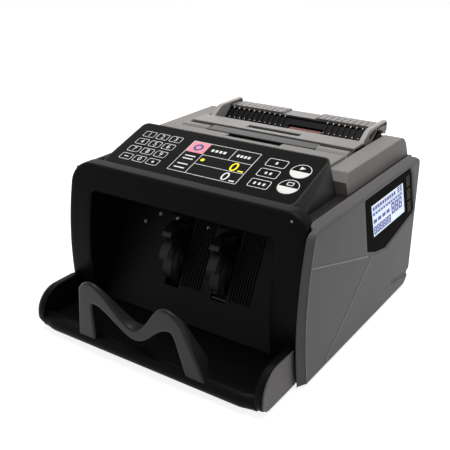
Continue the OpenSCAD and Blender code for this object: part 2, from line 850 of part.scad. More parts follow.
module hopper_guide() {
    low_z = land_z + slide_gap;
    top_z = land_z + 3.5;
    bed_gap = rib_out + 0.8;
    rise = (bed_top_z - bed_foot_z) / (land_y - bed_foot_y);
    function over_bed(y) = bed_foot_z + (y - bed_foot_y) * rise + bed_gap / cos(bed_angle);
    front_y = well_y + 1.2;
    along_x(guide_x, guide_x + guide_t)
        polygon([[front_y, strip_z - 2.5], [front_y + 14, top_z - 0.5], [front_y + 19, top_z],
            [hopper_rear_y - 3, top_z], [hopper_rear_y, top_z - 3], [hopper_rear_y, land_z - 7],
            [hopper_rear_y - hook_t, land_z - 7], [hopper_rear_y - hook_t, low_z], [land_y - 3, low_z],
            [land_y - 3, over_bed(land_y - 3)], [bed_foot_y + 3, over_bed(bed_foot_y + 3)],
            [front_y, over_bed(bed_foot_y + 3)]]);
}

module left_hopper_guide() {
    color(grey) in_frame() mirror([1, 0, 0]) hopper_guide();
}

module right_hopper_guide() {
    color(grey) in_frame() hopper_guide();
}

// Rear cover and what is set in it
inlet_x = -78;
inlet_z = 30;
inlet_w = 27;
inlet_h = 20;
rocker_x = -44;
rocker_w = 11;
rocker_h = 18;
port_x = 70;
port_w = 13;
port_h = 11;
knob_z = 98;
screw_places = [14 - left_x, right_x - 14];

module heel_outline(g, top) {
    translate([body_d - heel_r, heel_r]) circle(r = heel_r - g);
    translate([body_d - heel_r, heel_r]) square([heel_r - g, top - heel_r]);
}

module rear_cover() {
    color(dark_grey) in_frame() difference() {
        union() {
            along_x(-left_in_x, right_in_x) intersection() {
                difference() {
                    heel_outline(0, deck_z - deck_t - seam);
                    heel_outline(wall, cover_h + 10);
                }
                translate([body_d - heel_r, 0]) square([heel_r, cover_h]);
            }
            block(-rail_in_x + seam, rail_in_x - seam, rear_in_y, body_d, deck_z - deck_t - 1, land_z - 9 - seam);
        }
        peg_hole(inlet_x, inlet_w, inlet_h);
        peg_hole(rocker_x, rocker_w + 4, rocker_h + 4);
        peg_hole(port_x, port_w, port_h);
        peg(0, knob_z, rear_in_y - 1, body_d + 1, 3 + run_fit);
        for (x = screw_places, z = [40, cover_h - 18])
            peg(x, z, rear_in_y - 1, body_d + 1, 1.6);
        for (i = [0:11])
            block(-15 + 6 * i, -12 + 6 * i, rear_in_y - 1, body_d + 1, 50, 80);
    }
}

module peg_hole(x, w, h) {
    block(x - w / 2, x + w / 2, rear_in_y - 1, body_d + 1, inlet_z - h / 2, inlet_z + h / 2);
}

module rear_screws() {
    color(steel) in_frame()
        for (x = screw_places, z = [40, cover_h - 18]) {
            peg(x, z, body_d, body_d + 1.6, 3);
            peg(x, z, rear_in_y - 6, body_d + eps, 1.5);
        }
}

module power_inlet() {
    rim = 2;
    depth = 20;
    color("#0c0c0c") in_frame() difference() {
        union() {
            block(inlet_x - inlet_w / 2 - rim, inlet_x + inlet_w / 2 + rim, body_d, body_d + 1.5,
                inlet_z - inlet_h / 2 - rim, inlet_z + inlet_h / 2 + rim);
            block(inlet_x - inlet_w / 2, inlet_x + inlet_w / 2, body_d - depth, body_d + eps,
                inlet_z - inlet_h / 2, inlet_z + inlet_h / 2);
        }
        difference() {
            block(inlet_x - inlet_w / 2 + 1.5, inlet_x + inlet_w / 2 - 1.5, body_d - depth + 3, body_d + 2,
                inlet_z - inlet_h / 2 + 2, inlet_z + inlet_h / 2 - 2);
            for (i = [-1:1])
                block(inlet_x + 7 * i - 1, inlet_x + 7 * i + 1, body_d - depth, body_d - 4,
                    inlet_z - 2 + 3 * abs(i) - 2, inlet_z + 3 * abs(i));
        }
    }
}

module switch_frame() {
    w = rocker_w / 2 + 2;
    h = rocker_h / 2 + 2;
    color("#0c0c0c") in_frame() difference() {
        union() {
            block(rocker_x - w - 1.5, rocker_x + w + 1.5, body_d, body_d + 1.5, inlet_z - h - 1.5, inlet_z + h + 1.5);
            block(rocker_x - w, rocker_x + w, body_d - 16, body_d + eps, inlet_z - h, inlet_z + h);
        }
        block(rocker_x - rocker_w / 2 - 0.4, rocker_x + rocker_w / 2 + 0.4, body_d - 12, body_d + 2,
            inlet_z - rocker_h / 2 - 1, inlet_z + rocker_h / 2 + 1);
        bar(rocker_x - w + 0.6, rocker_x + w - 0.6, 1.5 + run_fit, [body_d - 4, inlet_z]);
    }
}

module power_rocker() {
    throw = 9;
    color("#0c0c0c") in_frame() translate([0, body_d - 4, inlet_z]) rotate([throw, 0, 0]) {
        along_x(rocker_x - rocker_w / 2, rocker_x + rocker_w / 2)
            polygon([[-5, -4], [-5, 4], [4.5, rocker_h / 2 - 0.5], [5.5, rocker_h / 2 - 1], [4, 0],
                [5.5, 1 - rocker_h / 2], [4.5, 0.5 - rocker_h / 2]]);
        bar(rocker_x - rocker_w / 2 - 1, rocker_x + rocker_w / 2 + 1, 1.5, [0, 0]);
    }
}

module data_port() {
    depth = 14;
    color("#0c0c0c") in_frame() difference() {
        block(port_x - port_w / 2, port_x + port_w / 2, body_d - depth, body_d + 0.5,
            inlet_z - port_h / 2, inlet_z + port_h / 2);
        block(port_x - port_w / 2 + 1.5, port_x + port_w / 2 - 1.5, body_d - depth + 3, body_d + 2,
            inlet_z - port_h / 2 + 2, inlet_z + port_h / 2 - 2);
    }
}

module gap_knob() {
    knob_r = 9;
    flutes = 12;
    color(black) in_frame() {
        difference() {
            peg(0, knob_z, body_d + 0.3, body_d + 7.5, knob_r);
            for (i = [0:flutes - 1])
                translate([0, 0, knob_z]) rotate([0, i * 360 / flutes, 0]) peg(knob_r + 0.6, 0, body_d, body_d + 8, 1.4);
        }
        peg(0, knob_z, rear_in_y - 8, body_d + 1, 3);
    }
}

// Steel frame that carries the shafts
bush_r = shaft_r + 2.5;
rod_r = 4;
rod_end_r = 2;
rod_places = [[back_y + 62, 20], [land_y - 10, 78], [back_top_y + 18, cover_h - 18]];

module frame_plate() {
    top_z = deck_z - deck_t;
    along_x(frame_x, frame_out_x) difference() {
        polygon([[back_y + 6, base_t], [body_d - heel_r - 1, base_t], [rear_in_y - 8, heel_r],
            [rear_in_y - 8, top_z + 10], [plate_y + 8, top_z + 10],
            [plate_y + 2, top_z], [back_top_y + 10, top_z], [back_y + 6, 46]]);
        for (c = shaft_places)
            translate(c) circle(r = bush_r);
        for (c = rod_places)
            translate(c) circle(r = rod_end_r);
        translate(retard_c) circle(r = shaft_r);
        translate(motor_c) circle(r = 7);
    }
}

module left_frame_plate() {
    color(steel) in_frame() mirror([1, 0, 0]) frame_plate();
}

module right_frame_plate() {
    color(steel) in_frame() frame_plate();
}

module tie_rods() {
    color(steel) in_frame() for (c = rod_places) {
        bar(-frame_x, frame_x, rod_r, c);
        both_sides() bar(frame_x - 1, frame_out_x + 1, rod_end_r - hub_fit, c);
    }
}

module bearings() {
    color("#8a6d3b") in_frame() both_sides() for (c = shaft_places) difference() {
        union() {
            bar(frame_x - 1.5, frame_x, bush_r + 1.5, c);
            bar(frame_x - eps, frame_out_x + 0.5, bush_r - hub_fit, c);
        }
        bar(frame_x - 3, frame_out_x + 3, shaft_r + run_fit, c);
    }
}

// Shafts, rollers and pulleys
module pulley(x0, r, c) {
    difference() {
        union() {
            bar(x0, x0 + pulley_w, r, c);
            bar(x0, x0 + 0.5, r + 1, c);
        }
        bar(x0 - 1, x0 + pulley_w + 1, shaft_r + hub_fit, c);
    }
}

module roller(x, w, r, c) {
    difference() {
        bar(x - w / 2, x + w / 2, r, c);
        bar(x - w / 2 - 1, x + w / 2 + 1, shaft_r + hub_fit, c);
    }
}

pickup_x = 12.3;
roller_x = 44;
roller_w = 24;
transport_w = 30;

module pickup_shaft() {
    color(steel) in_frame() bar(-frame_out_x - 1, pulley_x + pulley_w, shaft_r, pickup_c);
    color(black) in_frame() pulley(pulley_x, small_pulley_r, pickup_c);
}

module pickup_roller() {
    color(rubber) in_frame() roller(pickup_x, pickup_w, pickup_r, pickup_c);
}

module feed_shaft() {
    color(steel) in_frame() bar(-pulley_x - pulley_w, shaft_end_x, shaft_r, feed_c);
    color(black) in_frame() {
        pulley(pulley2_x, feed_pulley_r, feed_c);
        pulley(pulley_x, small_pulley_r, feed_c);
        mirror([1, 0, 0]) pulley(pulley_x, small_pulley_r, feed_c);
    }
}

module feed_rollers() {
    color(rubber) in_frame() both_sides() roller(roller_x, roller_w, feed_r, feed_c);
}

module retard_roller() {
    color("#4a4a4a") in_frame() {
        bar(-frame_out_x, frame_out_x, shaft_r - hub_fit, retard_c);
        both_sides() bar(roller_x - roller_w / 2, roller_x + roller_w / 2, retard_r, retard_c);
    }
}

module transport_shaft() {
    color(steel) in_frame() bar(-shaft_end_x, frame_out_x + 1, shaft_r, transport_c);
    color(black) in_frame() mirror([1, 0, 0]) {
        pulley(pulley_x, small_pulley_r, transport_c);
        pulley(pulley2_x, small_pulley_r, transport_c);
    }
}

module transport_rollers() {
    color(rubber) in_frame() both_sides() roller(roller_x, transport_w, transport_r, transport_c);
}

module idler_shaft() {
    color(steel) in_frame() {
        bar(-frame_out_x - 1, frame_out_x + 1, shaft_r, idler_c);
        both_sides() bar(roller_x - roller_w / 2, roller_x + roller_w / 2, idler_r, idler_c);
    }
}

module stacker_shaft() {
    color(steel) in_frame() bar(-shaft_end_x, frame_out_x + 1, shaft_r, stacker_c);
    color(black) in_frame() mirror([1, 0, 0]) pulley(pulley2_x, stacker_pulley_r, stacker_c);
}

// Stacker wheel: thin curved blades around a hub
module wheel_outline() {
    hub_r = 10;
    blade_t = 1.4;
    curl_r = 26;
    difference() {
        union() {
            circle(r = hub_r);
            intersection() {
                circle(r = wheel_r, $fn = fine);
                for (i = [0:blades - 1]) rotate(i * 360 / blades) translate([0, curl_r - hub_r + 2]) difference() {
                    circle(r = curl_r);
                    circle(r = curl_r - blade_t);
                    translate([-2 * curl_r, -2 * curl_r]) square([2 * curl_r, 4 * curl_r]);
                }
            }
        }
        circle(r = shaft_r + hub_fit);
    }
}

module stacker_wheel() {
    translate([wheel_x - wheel_w / 2, stacker_c[0], stacker_c[1]]) rotate([90, 0, 90])
        linear_extrude(wheel_w) wheel_outline();
}

module left_stacker_wheel() {
    color("#2a2a2a") in_frame() translate([-2 * wheel_x, 0, 0]) stacker_wheel();
}

module right_stacker_wheel() {
    color("#2a2a2a") in_frame() stacker_wheel();
}

// Motor, belts and boards
module main_motor() {
    color("#555555") in_frame() {
        difference() {
            bar(frame_x - motor_len, frame_x, motor_r, motor_c);
            bar(frame_x - motor_len - 1, frame_x + 1, 2 + run_fit, motor_c);
        }
        block(frame_x - motor_len + 6, frame_x - 8, motor_c[0] - 12, motor_c[0] + 12, base_t, motor_c[1] - motor_r + 4);
    }
}

module motor_pulley() {
    color(steel) in_frame() {
        bar(frame_x - motor_len + 4, shaft_end_x, 2, motor_c);
        bar(pulley2_x, shaft_end_x, motor_pulley_r, motor_c);
    }
}

// Outline around two pulleys, drawn in Y, Z
module loop_outline(a, ra, b, rb) {
    hull() {
        translate(a) circle(r = ra);
        translate(b) circle(r = rb);
    }
}

module belt(x0, a, ra, b, rb) {
    grow = belt_gap + belt_t;
    along_x(x0 + 0.7, x0 + 0.7 + belt_w) difference() {
        loop_outline(a, ra + grow, b, rb + grow);
        loop_outline(a, ra + belt_gap, b, rb + belt_gap);
    }
}

module feed_belt() {
    color("#151515") in_frame() belt(pulley2_x, motor_c, motor_pulley_r, feed_c, feed_pulley_r);
}

module pickup_belt() {
    color("#151515") in_frame() belt(pulley_x, feed_c, small_pulley_r, pickup_c, small_pulley_r);
}

module transport_belt() {
    color("#151515") in_frame() mirror([1, 0, 0])
        belt(pulley_x, feed_c, small_pulley_r, transport_c, small_pulley_r);
}

module stacker_belt() {
    color("#151515") in_frame() mirror([1, 0, 0])
        belt(pulley2_x, transport_c, small_pulley_r, stacker_c, stacker_pulley_r);
}

module main_board() {
    stand_h = 6;
    board_len = 134;
    board_d = 68;
    x0 = 22 - frame_x;
    x1 = x0 + board_len;
    y0 = back_y + 68;
    y1 = y0 + board_d;
    color("#2c5a3a") in_frame() {
        block(x0, x1, y0, y1, base_t + stand_h, base_t + stand_h + 1.6);
        for (x = [x0 + 5, x1 - 5], y = [y0 + 5, y1 - 5])
            translate([x, y, base_t]) cylinder(h = stand_h + eps, r = 3);
        block(x0 + 20, x0 + 50, y0 + 15, y0 + 45, base_t + stand_h + 1, base_t + stand_h + 4);
    }
}

module power_supply() {
    supply_len = 70;
    supply_d = 34;
    supply_h = 34;
    x0 = 6 - frame_x;
    y1 = body_d - heel_r - 9;
    color("#9a9a9a") in_frame() block(x0, x0 + supply_len, y1 - supply_d, y1, base_t, base_t + supply_h);
}

base_pan();
rubber_feet();
left_side_cover();
right_side_cover();
front_fascia();
stacker_pocket();
stacker_tray();
left_tray_cheek();
right_tray_cheek();
note_stop();
stacker_back_plate();
top_housing();
console_housing();
panel_overlay();
main_display();
console_board();
side_display_bezel();
side_display_glass();
side_key(0);  // side_key_1
side_key(1);  // side_key_2
side_key(2);  // side_key_3
side_key_board();
rear_cover();
rear_screws();
power_inlet();
switch_frame();
power_rocker();
data_port();
gap_knob();
left_frame_plate();
right_frame_plate();
tie_rods();
bearings();
hopper_bed();
hopper_rear_land();
hopper_front_plate();
left_hopper_guide();
right_hopper_guide();
feed_cover();
feed_cover_grip();
pickup_shaft();
pickup_roller();
feed_shaft();
feed_rollers();
retard_roller();
transport_shaft();
transport_rollers();
idler_shaft();
stacker_shaft();
left_stacker_wheel();
right_stacker_wheel();
main_motor();
motor_pulley();
feed_belt();
pickup_belt();
transport_belt();
stacker_belt();
main_board();
power_supply();
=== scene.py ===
import math

import bmesh
import bpy
from mathutils import Matrix, Vector


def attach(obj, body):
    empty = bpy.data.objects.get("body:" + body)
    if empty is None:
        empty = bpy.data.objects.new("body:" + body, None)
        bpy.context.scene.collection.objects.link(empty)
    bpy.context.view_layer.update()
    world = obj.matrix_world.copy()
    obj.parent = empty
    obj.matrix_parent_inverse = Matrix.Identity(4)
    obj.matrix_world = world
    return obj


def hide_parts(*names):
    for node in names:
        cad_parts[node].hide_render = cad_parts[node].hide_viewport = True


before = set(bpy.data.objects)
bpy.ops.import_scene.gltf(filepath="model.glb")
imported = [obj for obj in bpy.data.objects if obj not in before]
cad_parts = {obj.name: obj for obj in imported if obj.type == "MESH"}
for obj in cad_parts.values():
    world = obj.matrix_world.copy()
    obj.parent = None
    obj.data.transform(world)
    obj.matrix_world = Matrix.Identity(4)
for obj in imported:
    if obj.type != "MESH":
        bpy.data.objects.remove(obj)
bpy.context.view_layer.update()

# Studio: a white floor, one broad soft lamp overhead and three weaker ones around it, and the camera where
# the machine was photographed from. The world is a plain grey light that shows as white behind the machine.
scene = bpy.context.scene
scene.view_settings.view_transform = "Standard"


def add_node(tree, kind, inputs=None, **settings):
    """Adds one node. Inputs are values or output sockets, by the name of the input."""
    made = tree.nodes.new(kind)
    for key, value in settings.items():
        setattr(made, key, value)
    for key, value in (inputs or {}).items():
        if isinstance(value, bpy.types.NodeSocket):
            tree.links.new(value, made.inputs[key])
        else:
            made.inputs[key].default_value = value
    return made


def seen_rays(tree):
    """1 for the rays that show the background itself, 0 for the rays that only bring its light."""
    ray = add_node(tree, "ShaderNodeLightPath").outputs
    direct = add_node(tree, "ShaderNodeMath", {0: ray["Is Camera Ray"], 1: ray["Is Glossy Ray"]},
                      operation="ADD")
    return add_node(tree, "ShaderNodeMath", {0: direct.outputs[0], 1: ray["Is Transmission Ray"]},
                    operation="ADD", use_clamp=True).outputs[0]


WORLD_LIGHT, FLOOR_GREY, FLOOR_LIFT = 0.16, 0.55, 0.86
world = bpy.data.worlds.new("white_studio")
scene.world = world
world.use_nodes = True
sky = world.node_tree
sky.nodes.clear()
sky_light = add_node(sky, "ShaderNodeBackground", {"Color": (1, 1, 1, 1), "Strength": WORLD_LIGHT})
sky_seen = add_node(sky, "ShaderNodeBackground", {"Color": (1, 1, 1, 1), "Strength": 1.0})
sky_mix = add_node(sky, "ShaderNodeMixShader",
                   {0: seen_rays(sky), 1: sky_light.outputs[0], 2: sky_seen.outputs[0]})
add_node(sky, "ShaderNodeOutputWorld", {"Surface": sky_mix.outputs[0]})

LAMP_AIM = Vector((0, 0, 0.08))
for lamp_name, lamp_at, lamp_size, lamp_watts in (("overhead_softbox", (0.1, 0.1, 1.5), 1.1, 20),
                                                  ("right_softbox", (1.3, 0.45, 0.4), 0.9, 1.7),
                                                  ("front_softbox", (-0.9, -1.1, 0.9), 0.9, 0.6),
                                                  ("rear_softbox", (-0.9, 1.2, 0.7), 0.9, 2.0)):
    lamp = bpy.data.lights.new(lamp_name, "AREA")
    lamp.shape, lamp.size, lamp.energy = "DISK", lamp_size, lamp_watts
    lamp_holder = bpy.data.objects.new(lamp_name, lamp)
    scene.collection.objects.link(lamp_holder)
    lamp_holder.location = lamp_at
    lamp_holder.rotation_euler = (LAMP_AIM - Vector(lamp_at)).to_track_quat("-Z", "Y").to_euler()

# the camera's place and turn were solved from the lines of the photograph that run to one point
view = bpy.data.cameras.new("camera")
view.sensor_width, view.lens = 36, 59.12
view_holder = bpy.data.objects.new("camera", view)
scene.collection.objects.link(view_holder)
view_holder.location = (0.33215, -0.503506, 0.343)
view_holder.rotation_euler = (math.radians(66.5), 0, math.radians(34))
scene.camera = view_holder

floor_mesh = bpy.data.meshes.new("floor")
floor_mesh.from_pydata([(-3, -3, 0), (3, -3, 0), (3, 3, 0), (-3, 3, 0)], [], [(0, 1, 2, 3)])
floor = bpy.data.objects.new("floor", floor_mesh)
scene.collection.objects.link(floor)
floor_paint = bpy.data.materials.new("white_studio_floor")
floor_paint.use_nodes = True
floor_tree = floor_paint.node_tree
floor_tree.nodes.clear()
# painted board that is lifted to white where it is seen, so that only the machine's shadow shows on it
floor_matt = add_node(floor_tree, "ShaderNodeBsdfDiffuse", {"Color": (FLOOR_GREY, FLOOR_GREY, FLOOR_GREY, 1)})
floor_glow = add_node(floor_tree, "ShaderNodeEmission", {"Color": (1, 1, 1, 1)})
floor_lift = add_node(floor_tree, "ShaderNodeMath", {0: seen_rays(floor_tree), 1: FLOOR_LIFT},
                      operation="MULTIPLY")
floor_tree.links.new(floor_lift.outputs[0], floor_glow.inputs["Strength"])
floor_sum = add_node(floor_tree, "ShaderNodeAddShader", {0: floor_matt.outputs[0], 1: floor_glow.outputs[0]})
add_node(floor_tree, "ShaderNodeOutputMaterial", {"Surface": floor_sum.outputs[0]})
floor_mesh.materials.append(floor_paint)

# Side covers: grey ABS mouldings with a fine spark-eroded grain, clipped to the base. Each has a sloping
# ledge on top and a hand grip. The right-hand one stands further out, ends in a slanting band at its front
# and holds the second display.
LEFT_X, RIGHT_X, COVER_H, BODY_D = 117.5, 122.0, 126.5, 263.0
LEDGE_X, FOOT_R, REAR_R, CORNER_R = 114, 15, 9, 5
EDGE_R, BAND_DROP, BAND_CREASE, BEZEL_SHOULDER, BEZEL_POCKET = 1.6, 3.8, 0.3, 0.75, 1.2
BEZEL = [(141.5, 123.2), (238.5, 123.2), (243.5, 117.2), (258.5, 77.7), (255.5, 74.2), (194.5, 61.7),
         (172.5, 66.2), (155.5, 72.7)]


def at(x, y, z):
    """Millimetres from the fascia's middle, the tray's front and the base, as metres in the part's frame."""
    return Vector(((x - 2.25) / 1000, (y - 130.006) / 1000, (z + 3) / 1000))


def hex_colour(text):
    """An sRGB hex value as linear red, green, blue and alpha."""
    parts = [int(text[i:i + 2], 16) / 255 for i in (1, 3, 5)]
    return tuple(c / 12.92 if c <= 0.04045 else ((c + 0.055) / 1.055) ** 2.4 for c in parts) + (1.0,)


def blank(name):
    """A new material, its tree, its shader and the coordinates that its patterns read."""
    made = bpy.data.materials.new(name)
    made.use_nodes = True
    tree = made.node_tree
    return made, tree, tree.nodes["Principled BSDF"], add_node(tree, "ShaderNodeTexCoord").outputs["Object"]


def moulded(name, colour, rough, grain_mm, depth_mm, specular=0.35, mottle=0.07):
    """Moulded plastic in a drifting colour. The mould's 0.2 mm grain is drawn coarser, so that it shows."""
    made, tree, shader, place = blank(name)
    drift_mm = 55
    drift = add_node(tree, "ShaderNodeTexNoise", {"Vector": place, "Scale": 1000 / drift_mm, "Detail": 4.0})
    base = hex_colour(colour)
    low = tuple(c * (1 - mottle) for c in base[:3]) + (1,)
    high = tuple(c * (1 + mottle) for c in base[:3]) + (1,)
    ramp = add_node(tree, "ShaderNodeValToRGB", {"Fac": drift.outputs["Fac"]})
    ramp.color_ramp.elements[0].position, ramp.color_ramp.elements[0].color = 0.3, low
    ramp.color_ramp.elements[1].position, ramp.color_ramp.elements[1].color = 0.7, high
    tree.links.new(ramp.outputs["Color"], shader.inputs["Base Color"])
    grain = add_node(tree, "ShaderNodeTexNoise", {"Vector": place, "Scale": 1000 / grain_mm, "Detail": 2.0})
    gloss = add_node(tree, "ShaderNodeMapRange", {"Value": grain.outputs["Fac"], "To Min": rough * 0.88,
                                                  "To Max": rough * 1.12})
    tree.links.new(gloss.outputs["Result"], shader.inputs["Roughness"])
    bump = add_node(tree, "ShaderNodeBump", {"Height": grain.outputs["Fac"], "Strength": 0.5,
                                             "Distance": depth_mm / 1000})
    tree.links.new(bump.outputs["Normal"], shader.inputs["Normal"])
    shader.inputs["Specular IOR Level"].default_value = specular
    return made


def skin(bm, rows, closed=False):
    """Faces between rows of points that all have the same length."""
    made = [[bm.verts.new(p) for p in row] for row in rows]
    for a, b in zip(made, made[1:]):
        for i in range(len(a) if closed else len(a) - 1):
            j = (i + 1) % len(a)
            bm.faces.new((a[i], a[j], b[j], b[i]))
    return made


def shell(bm, outer, inner):
    """Two sheets with the same number of rows and points, joined all round their edge."""
    rims = []
    for rows in (outer, inner):
        sheet = skin(bm, rows)
        ends, starts = [r[-1] for r in sheet[1:]], [r[0] for r in sheet[-2:0:-1]]
        rims.append(sheet[0] + ends + sheet[-1][-2::-1] + starts)
    for i in range(len(rims[0])):
        j = (i + 1) % len(rims[0])
        bm.faces.new((rims[0][i], rims[0][j], rims[1][j], rims[1][i]))


def keep(name, bm, material, nodes=(), body="machine", sharp=35, turn=True):
    """Makes the finished piece: merged, faces outwards, smooth up to the sharp angle, riding on its body."""
    bmesh.ops.remove_doubles(bm, verts=bm.verts, dist=2e-6)
    if turn:
        bmesh.ops.recalc_face_normals(bm, faces=bm.faces)
    mesh = bpy.data.meshes.new(name)
    bm.to_mesh(mesh)
    bm.free()
    mesh.polygons.foreach_set("use_smooth", [True] * len(mesh.polygons))
    mesh.set_sharp_from_angle(angle=math.radians(sharp))
    mesh.materials.append(material)
    made = bpy.data.objects.new(name, mesh)
    scene.collection.objects.link(made)
    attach(made, body)
    if nodes:
        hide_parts(*nodes)
    return made


def even(piece):
    """Weights the shading by face size, so that flat faces stay flat beside their rounded edges."""
    piece.modifiers.new("even_shading", "WEIGHTED_NORMAL").keep_sharp = True
    return piece


def bow(z, front=46.5, r=293.0, mid=54.0):
    """How far back a bowed front is at height z. The plain values are those of the fascia."""
    return front + r - math.sqrt(r ** 2 - (z - mid) ** 2)


def step(a, b, v):
    """Smooth rise from 0 at a to 1 at b."""
    t = min(1.0, max(0.0, (v - a) / (b - a)))
    return t * t * (3 - 2 * t)


def line_gap(p, a, b):
    """Distance from p to the line piece a-b, and the side it is on."""
    dx, dy = b[0] - a[0], b[1] - a[1]
    t = min(1.0, max(0.0, ((p[0] - a[0]) * dx + (p[1] - a[1]) * dy) / (dx * dx + dy * dy)))
    gap = math.hypot(p[0] - a[0] - t * dx, p[1] - a[1] - t * dy)
    return gap, dx * (p[1] - a[1]) - dy * (p[0] - a[0])


def inside_gap(p, outline):
    """Distance to a closed convex outline, positive inside."""
    gaps = [line_gap(p, a, b) for a, b in zip(outline, outline[1:] + outline[:1])]
    inside = all(g[1] <= 0 for g in gaps) or all(g[1] >= 0 for g in gaps)
    return min(g[0] for g in gaps) * (1 if inside else -1)


def round_drop(d, r):
    """How far a face with an edge of radius r lies back at distance d from that edge."""
    return 0.0 if d >= r else r - math.sqrt(r * r - (r - d) ** 2)


def grip_depth(y, z):
    """Depth of the hand grip, a slanting hollow low down at the rear."""
    grip_z = 18.5 - (y - 216) * 0.183
    gap = math.hypot(max(0.0, 218 - y), max(0.0, abs(z - grip_z) - 1.2))
    return 1.3 * (1 - step(1.0, 2.2, gap))


def band_end(z):
    """Where the slanting front band of the right-hand cover ends."""
    return bow(z, 47.5, 255, 57)


def right_front(z):
    """Front edge of the right-hand cover, which bows like the fascia and stands ahead of it."""
    return bow(z, 41.2, 267, 52)


def left_front(z):
    """Front edge of the left-hand cover, just behind the fascia's rounded edge."""
    return bow(z) + 5.0


def side_cover(out_x, front, rim_r, display):
    """Outer and inner skin of one cover, as rows of points from the foot to the inner edge of its ledge."""
    ledge_w = out_x - LEDGE_X
    # inset from the outer face, height, and the wall's thickness across and downwards
    section = [(0.0, z, 2.0, 0.0) for z in [0.0, 0.5, 1.2] + [2.2 + i for i in range(123)]]
    section += [(0.15, 125.4, 2.0, 0.4), (0.6, 126.2, 1.8, 0.9), (1.3, 126.9, 1.4, 1.3)]
    section += [(2.2 + (ledge_w - 3) * t, 127.45 + 2.95 * t, 1.0 - 1.4 * t, 1.6)
                for t in (0.0, 0.2, 0.4, 0.6, 0.8, 1.0)]
    section += [(ledge_w - 0.3, 130.5, -0.7, 1.7), (ledge_w, 130.2, -1.0, 1.7), (ledge_w, 128, -1.0, 0.0)]
    # stations behind the front edge: in millimetres, and as shares of the band's width
    plain_near = [0, 0.1, 0.3, 0.6, 1.0, 1.5, 2.2, 3.2, 4.4, 5.8, 7.4, 9.0]
    band_near = [0, 0.02, 0.06, 0.12, 0.25, 0.45, 0.65, 0.85, 0.95, 1.0, 1.1, 1.4]
    outer, inner = [], []
    for inset, z, thick_x, thick_z in section:
        wall_z = min(z, COVER_H)
        corner = round_drop(COVER_H - wall_z, CORNER_R) + 0.7 * max(0.0, inset - 0.5) if display else 0.0
        y0 = front(wall_z) + corner
        band_y = band_end(wall_z) + corner
        near = [t * (band_y - y0) for t in band_near] if display else plain_near
        y1 = BODY_D - round_drop(z, FOOT_R) - round_drop(max(0.0, COVER_H + 2 - z), REAR_R)
        start, end, count = y0 + near[-1], y1 - EDGE_R, 200
        stations = [y0 + d for d in near]
        stations += [start + (end - start) * i / count for i in range(1, count + 1)]
        stations += [y1 - 0.9, y1 - 0.4, y1 - 0.1, y1]
        outer.append([])
        inner.append([])
        for y in stations:
            x = out_x - inset - (round_drop(y - y0, rim_r) + round_drop(y1 - y, EDGE_R)) * (1 - inset / 12)
            if display:
                fall = max(0.0, band_y - y) / (band_y - y0)
                x -= (BAND_DROP * fall + BAND_CREASE * step(0, 0.05, fall)) * max(0.0, 1 - inset / 4)
            if inset == 0:
                x -= grip_depth(y, z) + round_drop(z, 1.2)
                if display:
                    rim = inside_gap((y, z), BEZEL)
                    x -= BEZEL_SHOULDER * step(-2.6, -0.2, rim) + BEZEL_POCKET * step(0.3, 1.5, rim)
            top = z - (0.45 * round_drop(y - y0, 6) * step(1, ledge_w, inset) if display else 0)
            outer[-1].append((x, y, top))
            # the wall keeps clear of the fascia
            beside_fascia = display and y < 62 and inset < 3
            inner_x = max(x - thick_x, LEFT_X) if beside_fascia else x - thick_x
            inner[-1].append((inner_x, y, top - thick_z))
    return outer, inner


# ABS from a spark-eroded mould: mid grey and nearly matt, because the grain breaks up its highlights
grey_abs = moulded("grey_abs_spark_eroded", "#5a5858", 0.46, 0.9, 0.05, specular=0.14)
for cover_name, cover_side, cover_x, cover_front, cover_rim in (
        ("right_side_cover", 1, RIGHT_X, right_front, 0.3), ("left_side_cover", -1, LEFT_X, left_front, 1.0)):
    cover_bm = bmesh.new()
    shell(cover_bm, *[[[at(cover_side * x, y, z) for x, y, z in row] for row in rows]
                      for rows in side_cover(cover_x, cover_front, cover_rim, cover_side > 0)])
    keep(cover_name + "_moulding", cover_bm, grey_abs, (cover_name,), sharp=50)

# Fascia: a bowed black ABS moulding with a satin face, screwed to the frame. Its wide mouth opens into the
# pocket where counted sheets pile up, and its upper corners are rounded.
FASCIA_H, FASCIA_R, FASCIA_REAR_Y, MOUTH_X, MOUTH_H, MOUTH_R = 137.0, 20.0, 70.8, 91.0, 115.0, 1.6
# ABS from a fine-textured mould: deep black with a faint sheen where it turns away
black_abs = moulded("black_abs_satin", "#0b0a0a", 0.4, 0.7, 0.02, specular=0.05)


def arc(x, y, r, n, start=0.0, sweep=360.0):
    """Points round a circle or along part of it."""
    last = n if sweep >= 360 else n - 1
    turns = [math.radians(start + sweep * i / last) for i in range(n)]
    return [(x + r * math.cos(a), y + r * math.sin(a)) for a in turns]


def arch(half, top, r):
    """Points up one jamb, round the corner, along the brow and down the other, with outward directions."""
    n_jamb, n_corner, n_brow = 30, 12, 34
    left = [(-half, (top - r) * i / n_jamb, -1, 0) for i in range(n_jamb)]
    corner = arc(0, 0, 1, n_corner + 1, 180, -90)[:-1]
    left += [(-half + r + r * nx, top - r + r * nz, nx, nz) for nx, nz in corner]
    brow = [(-half + r + 2 * (half - r) * i / n_brow, top, 0, 1) for i in range(n_brow + 1)]
    return left + brow + [(-x, z, -nx, nz) for x, z, nx, nz in reversed(left)]


def edge_r(nz):
    """Radius of the fascia's front edge, larger down the jambs than along the brow."""
    return 4.7 - 2.1 * nz


fascia_out = arch(LEFT_X - 0.1, FASCIA_H, FASCIA_R)
mouth = arch(MOUTH_X, MOUTH_H, 5.0)
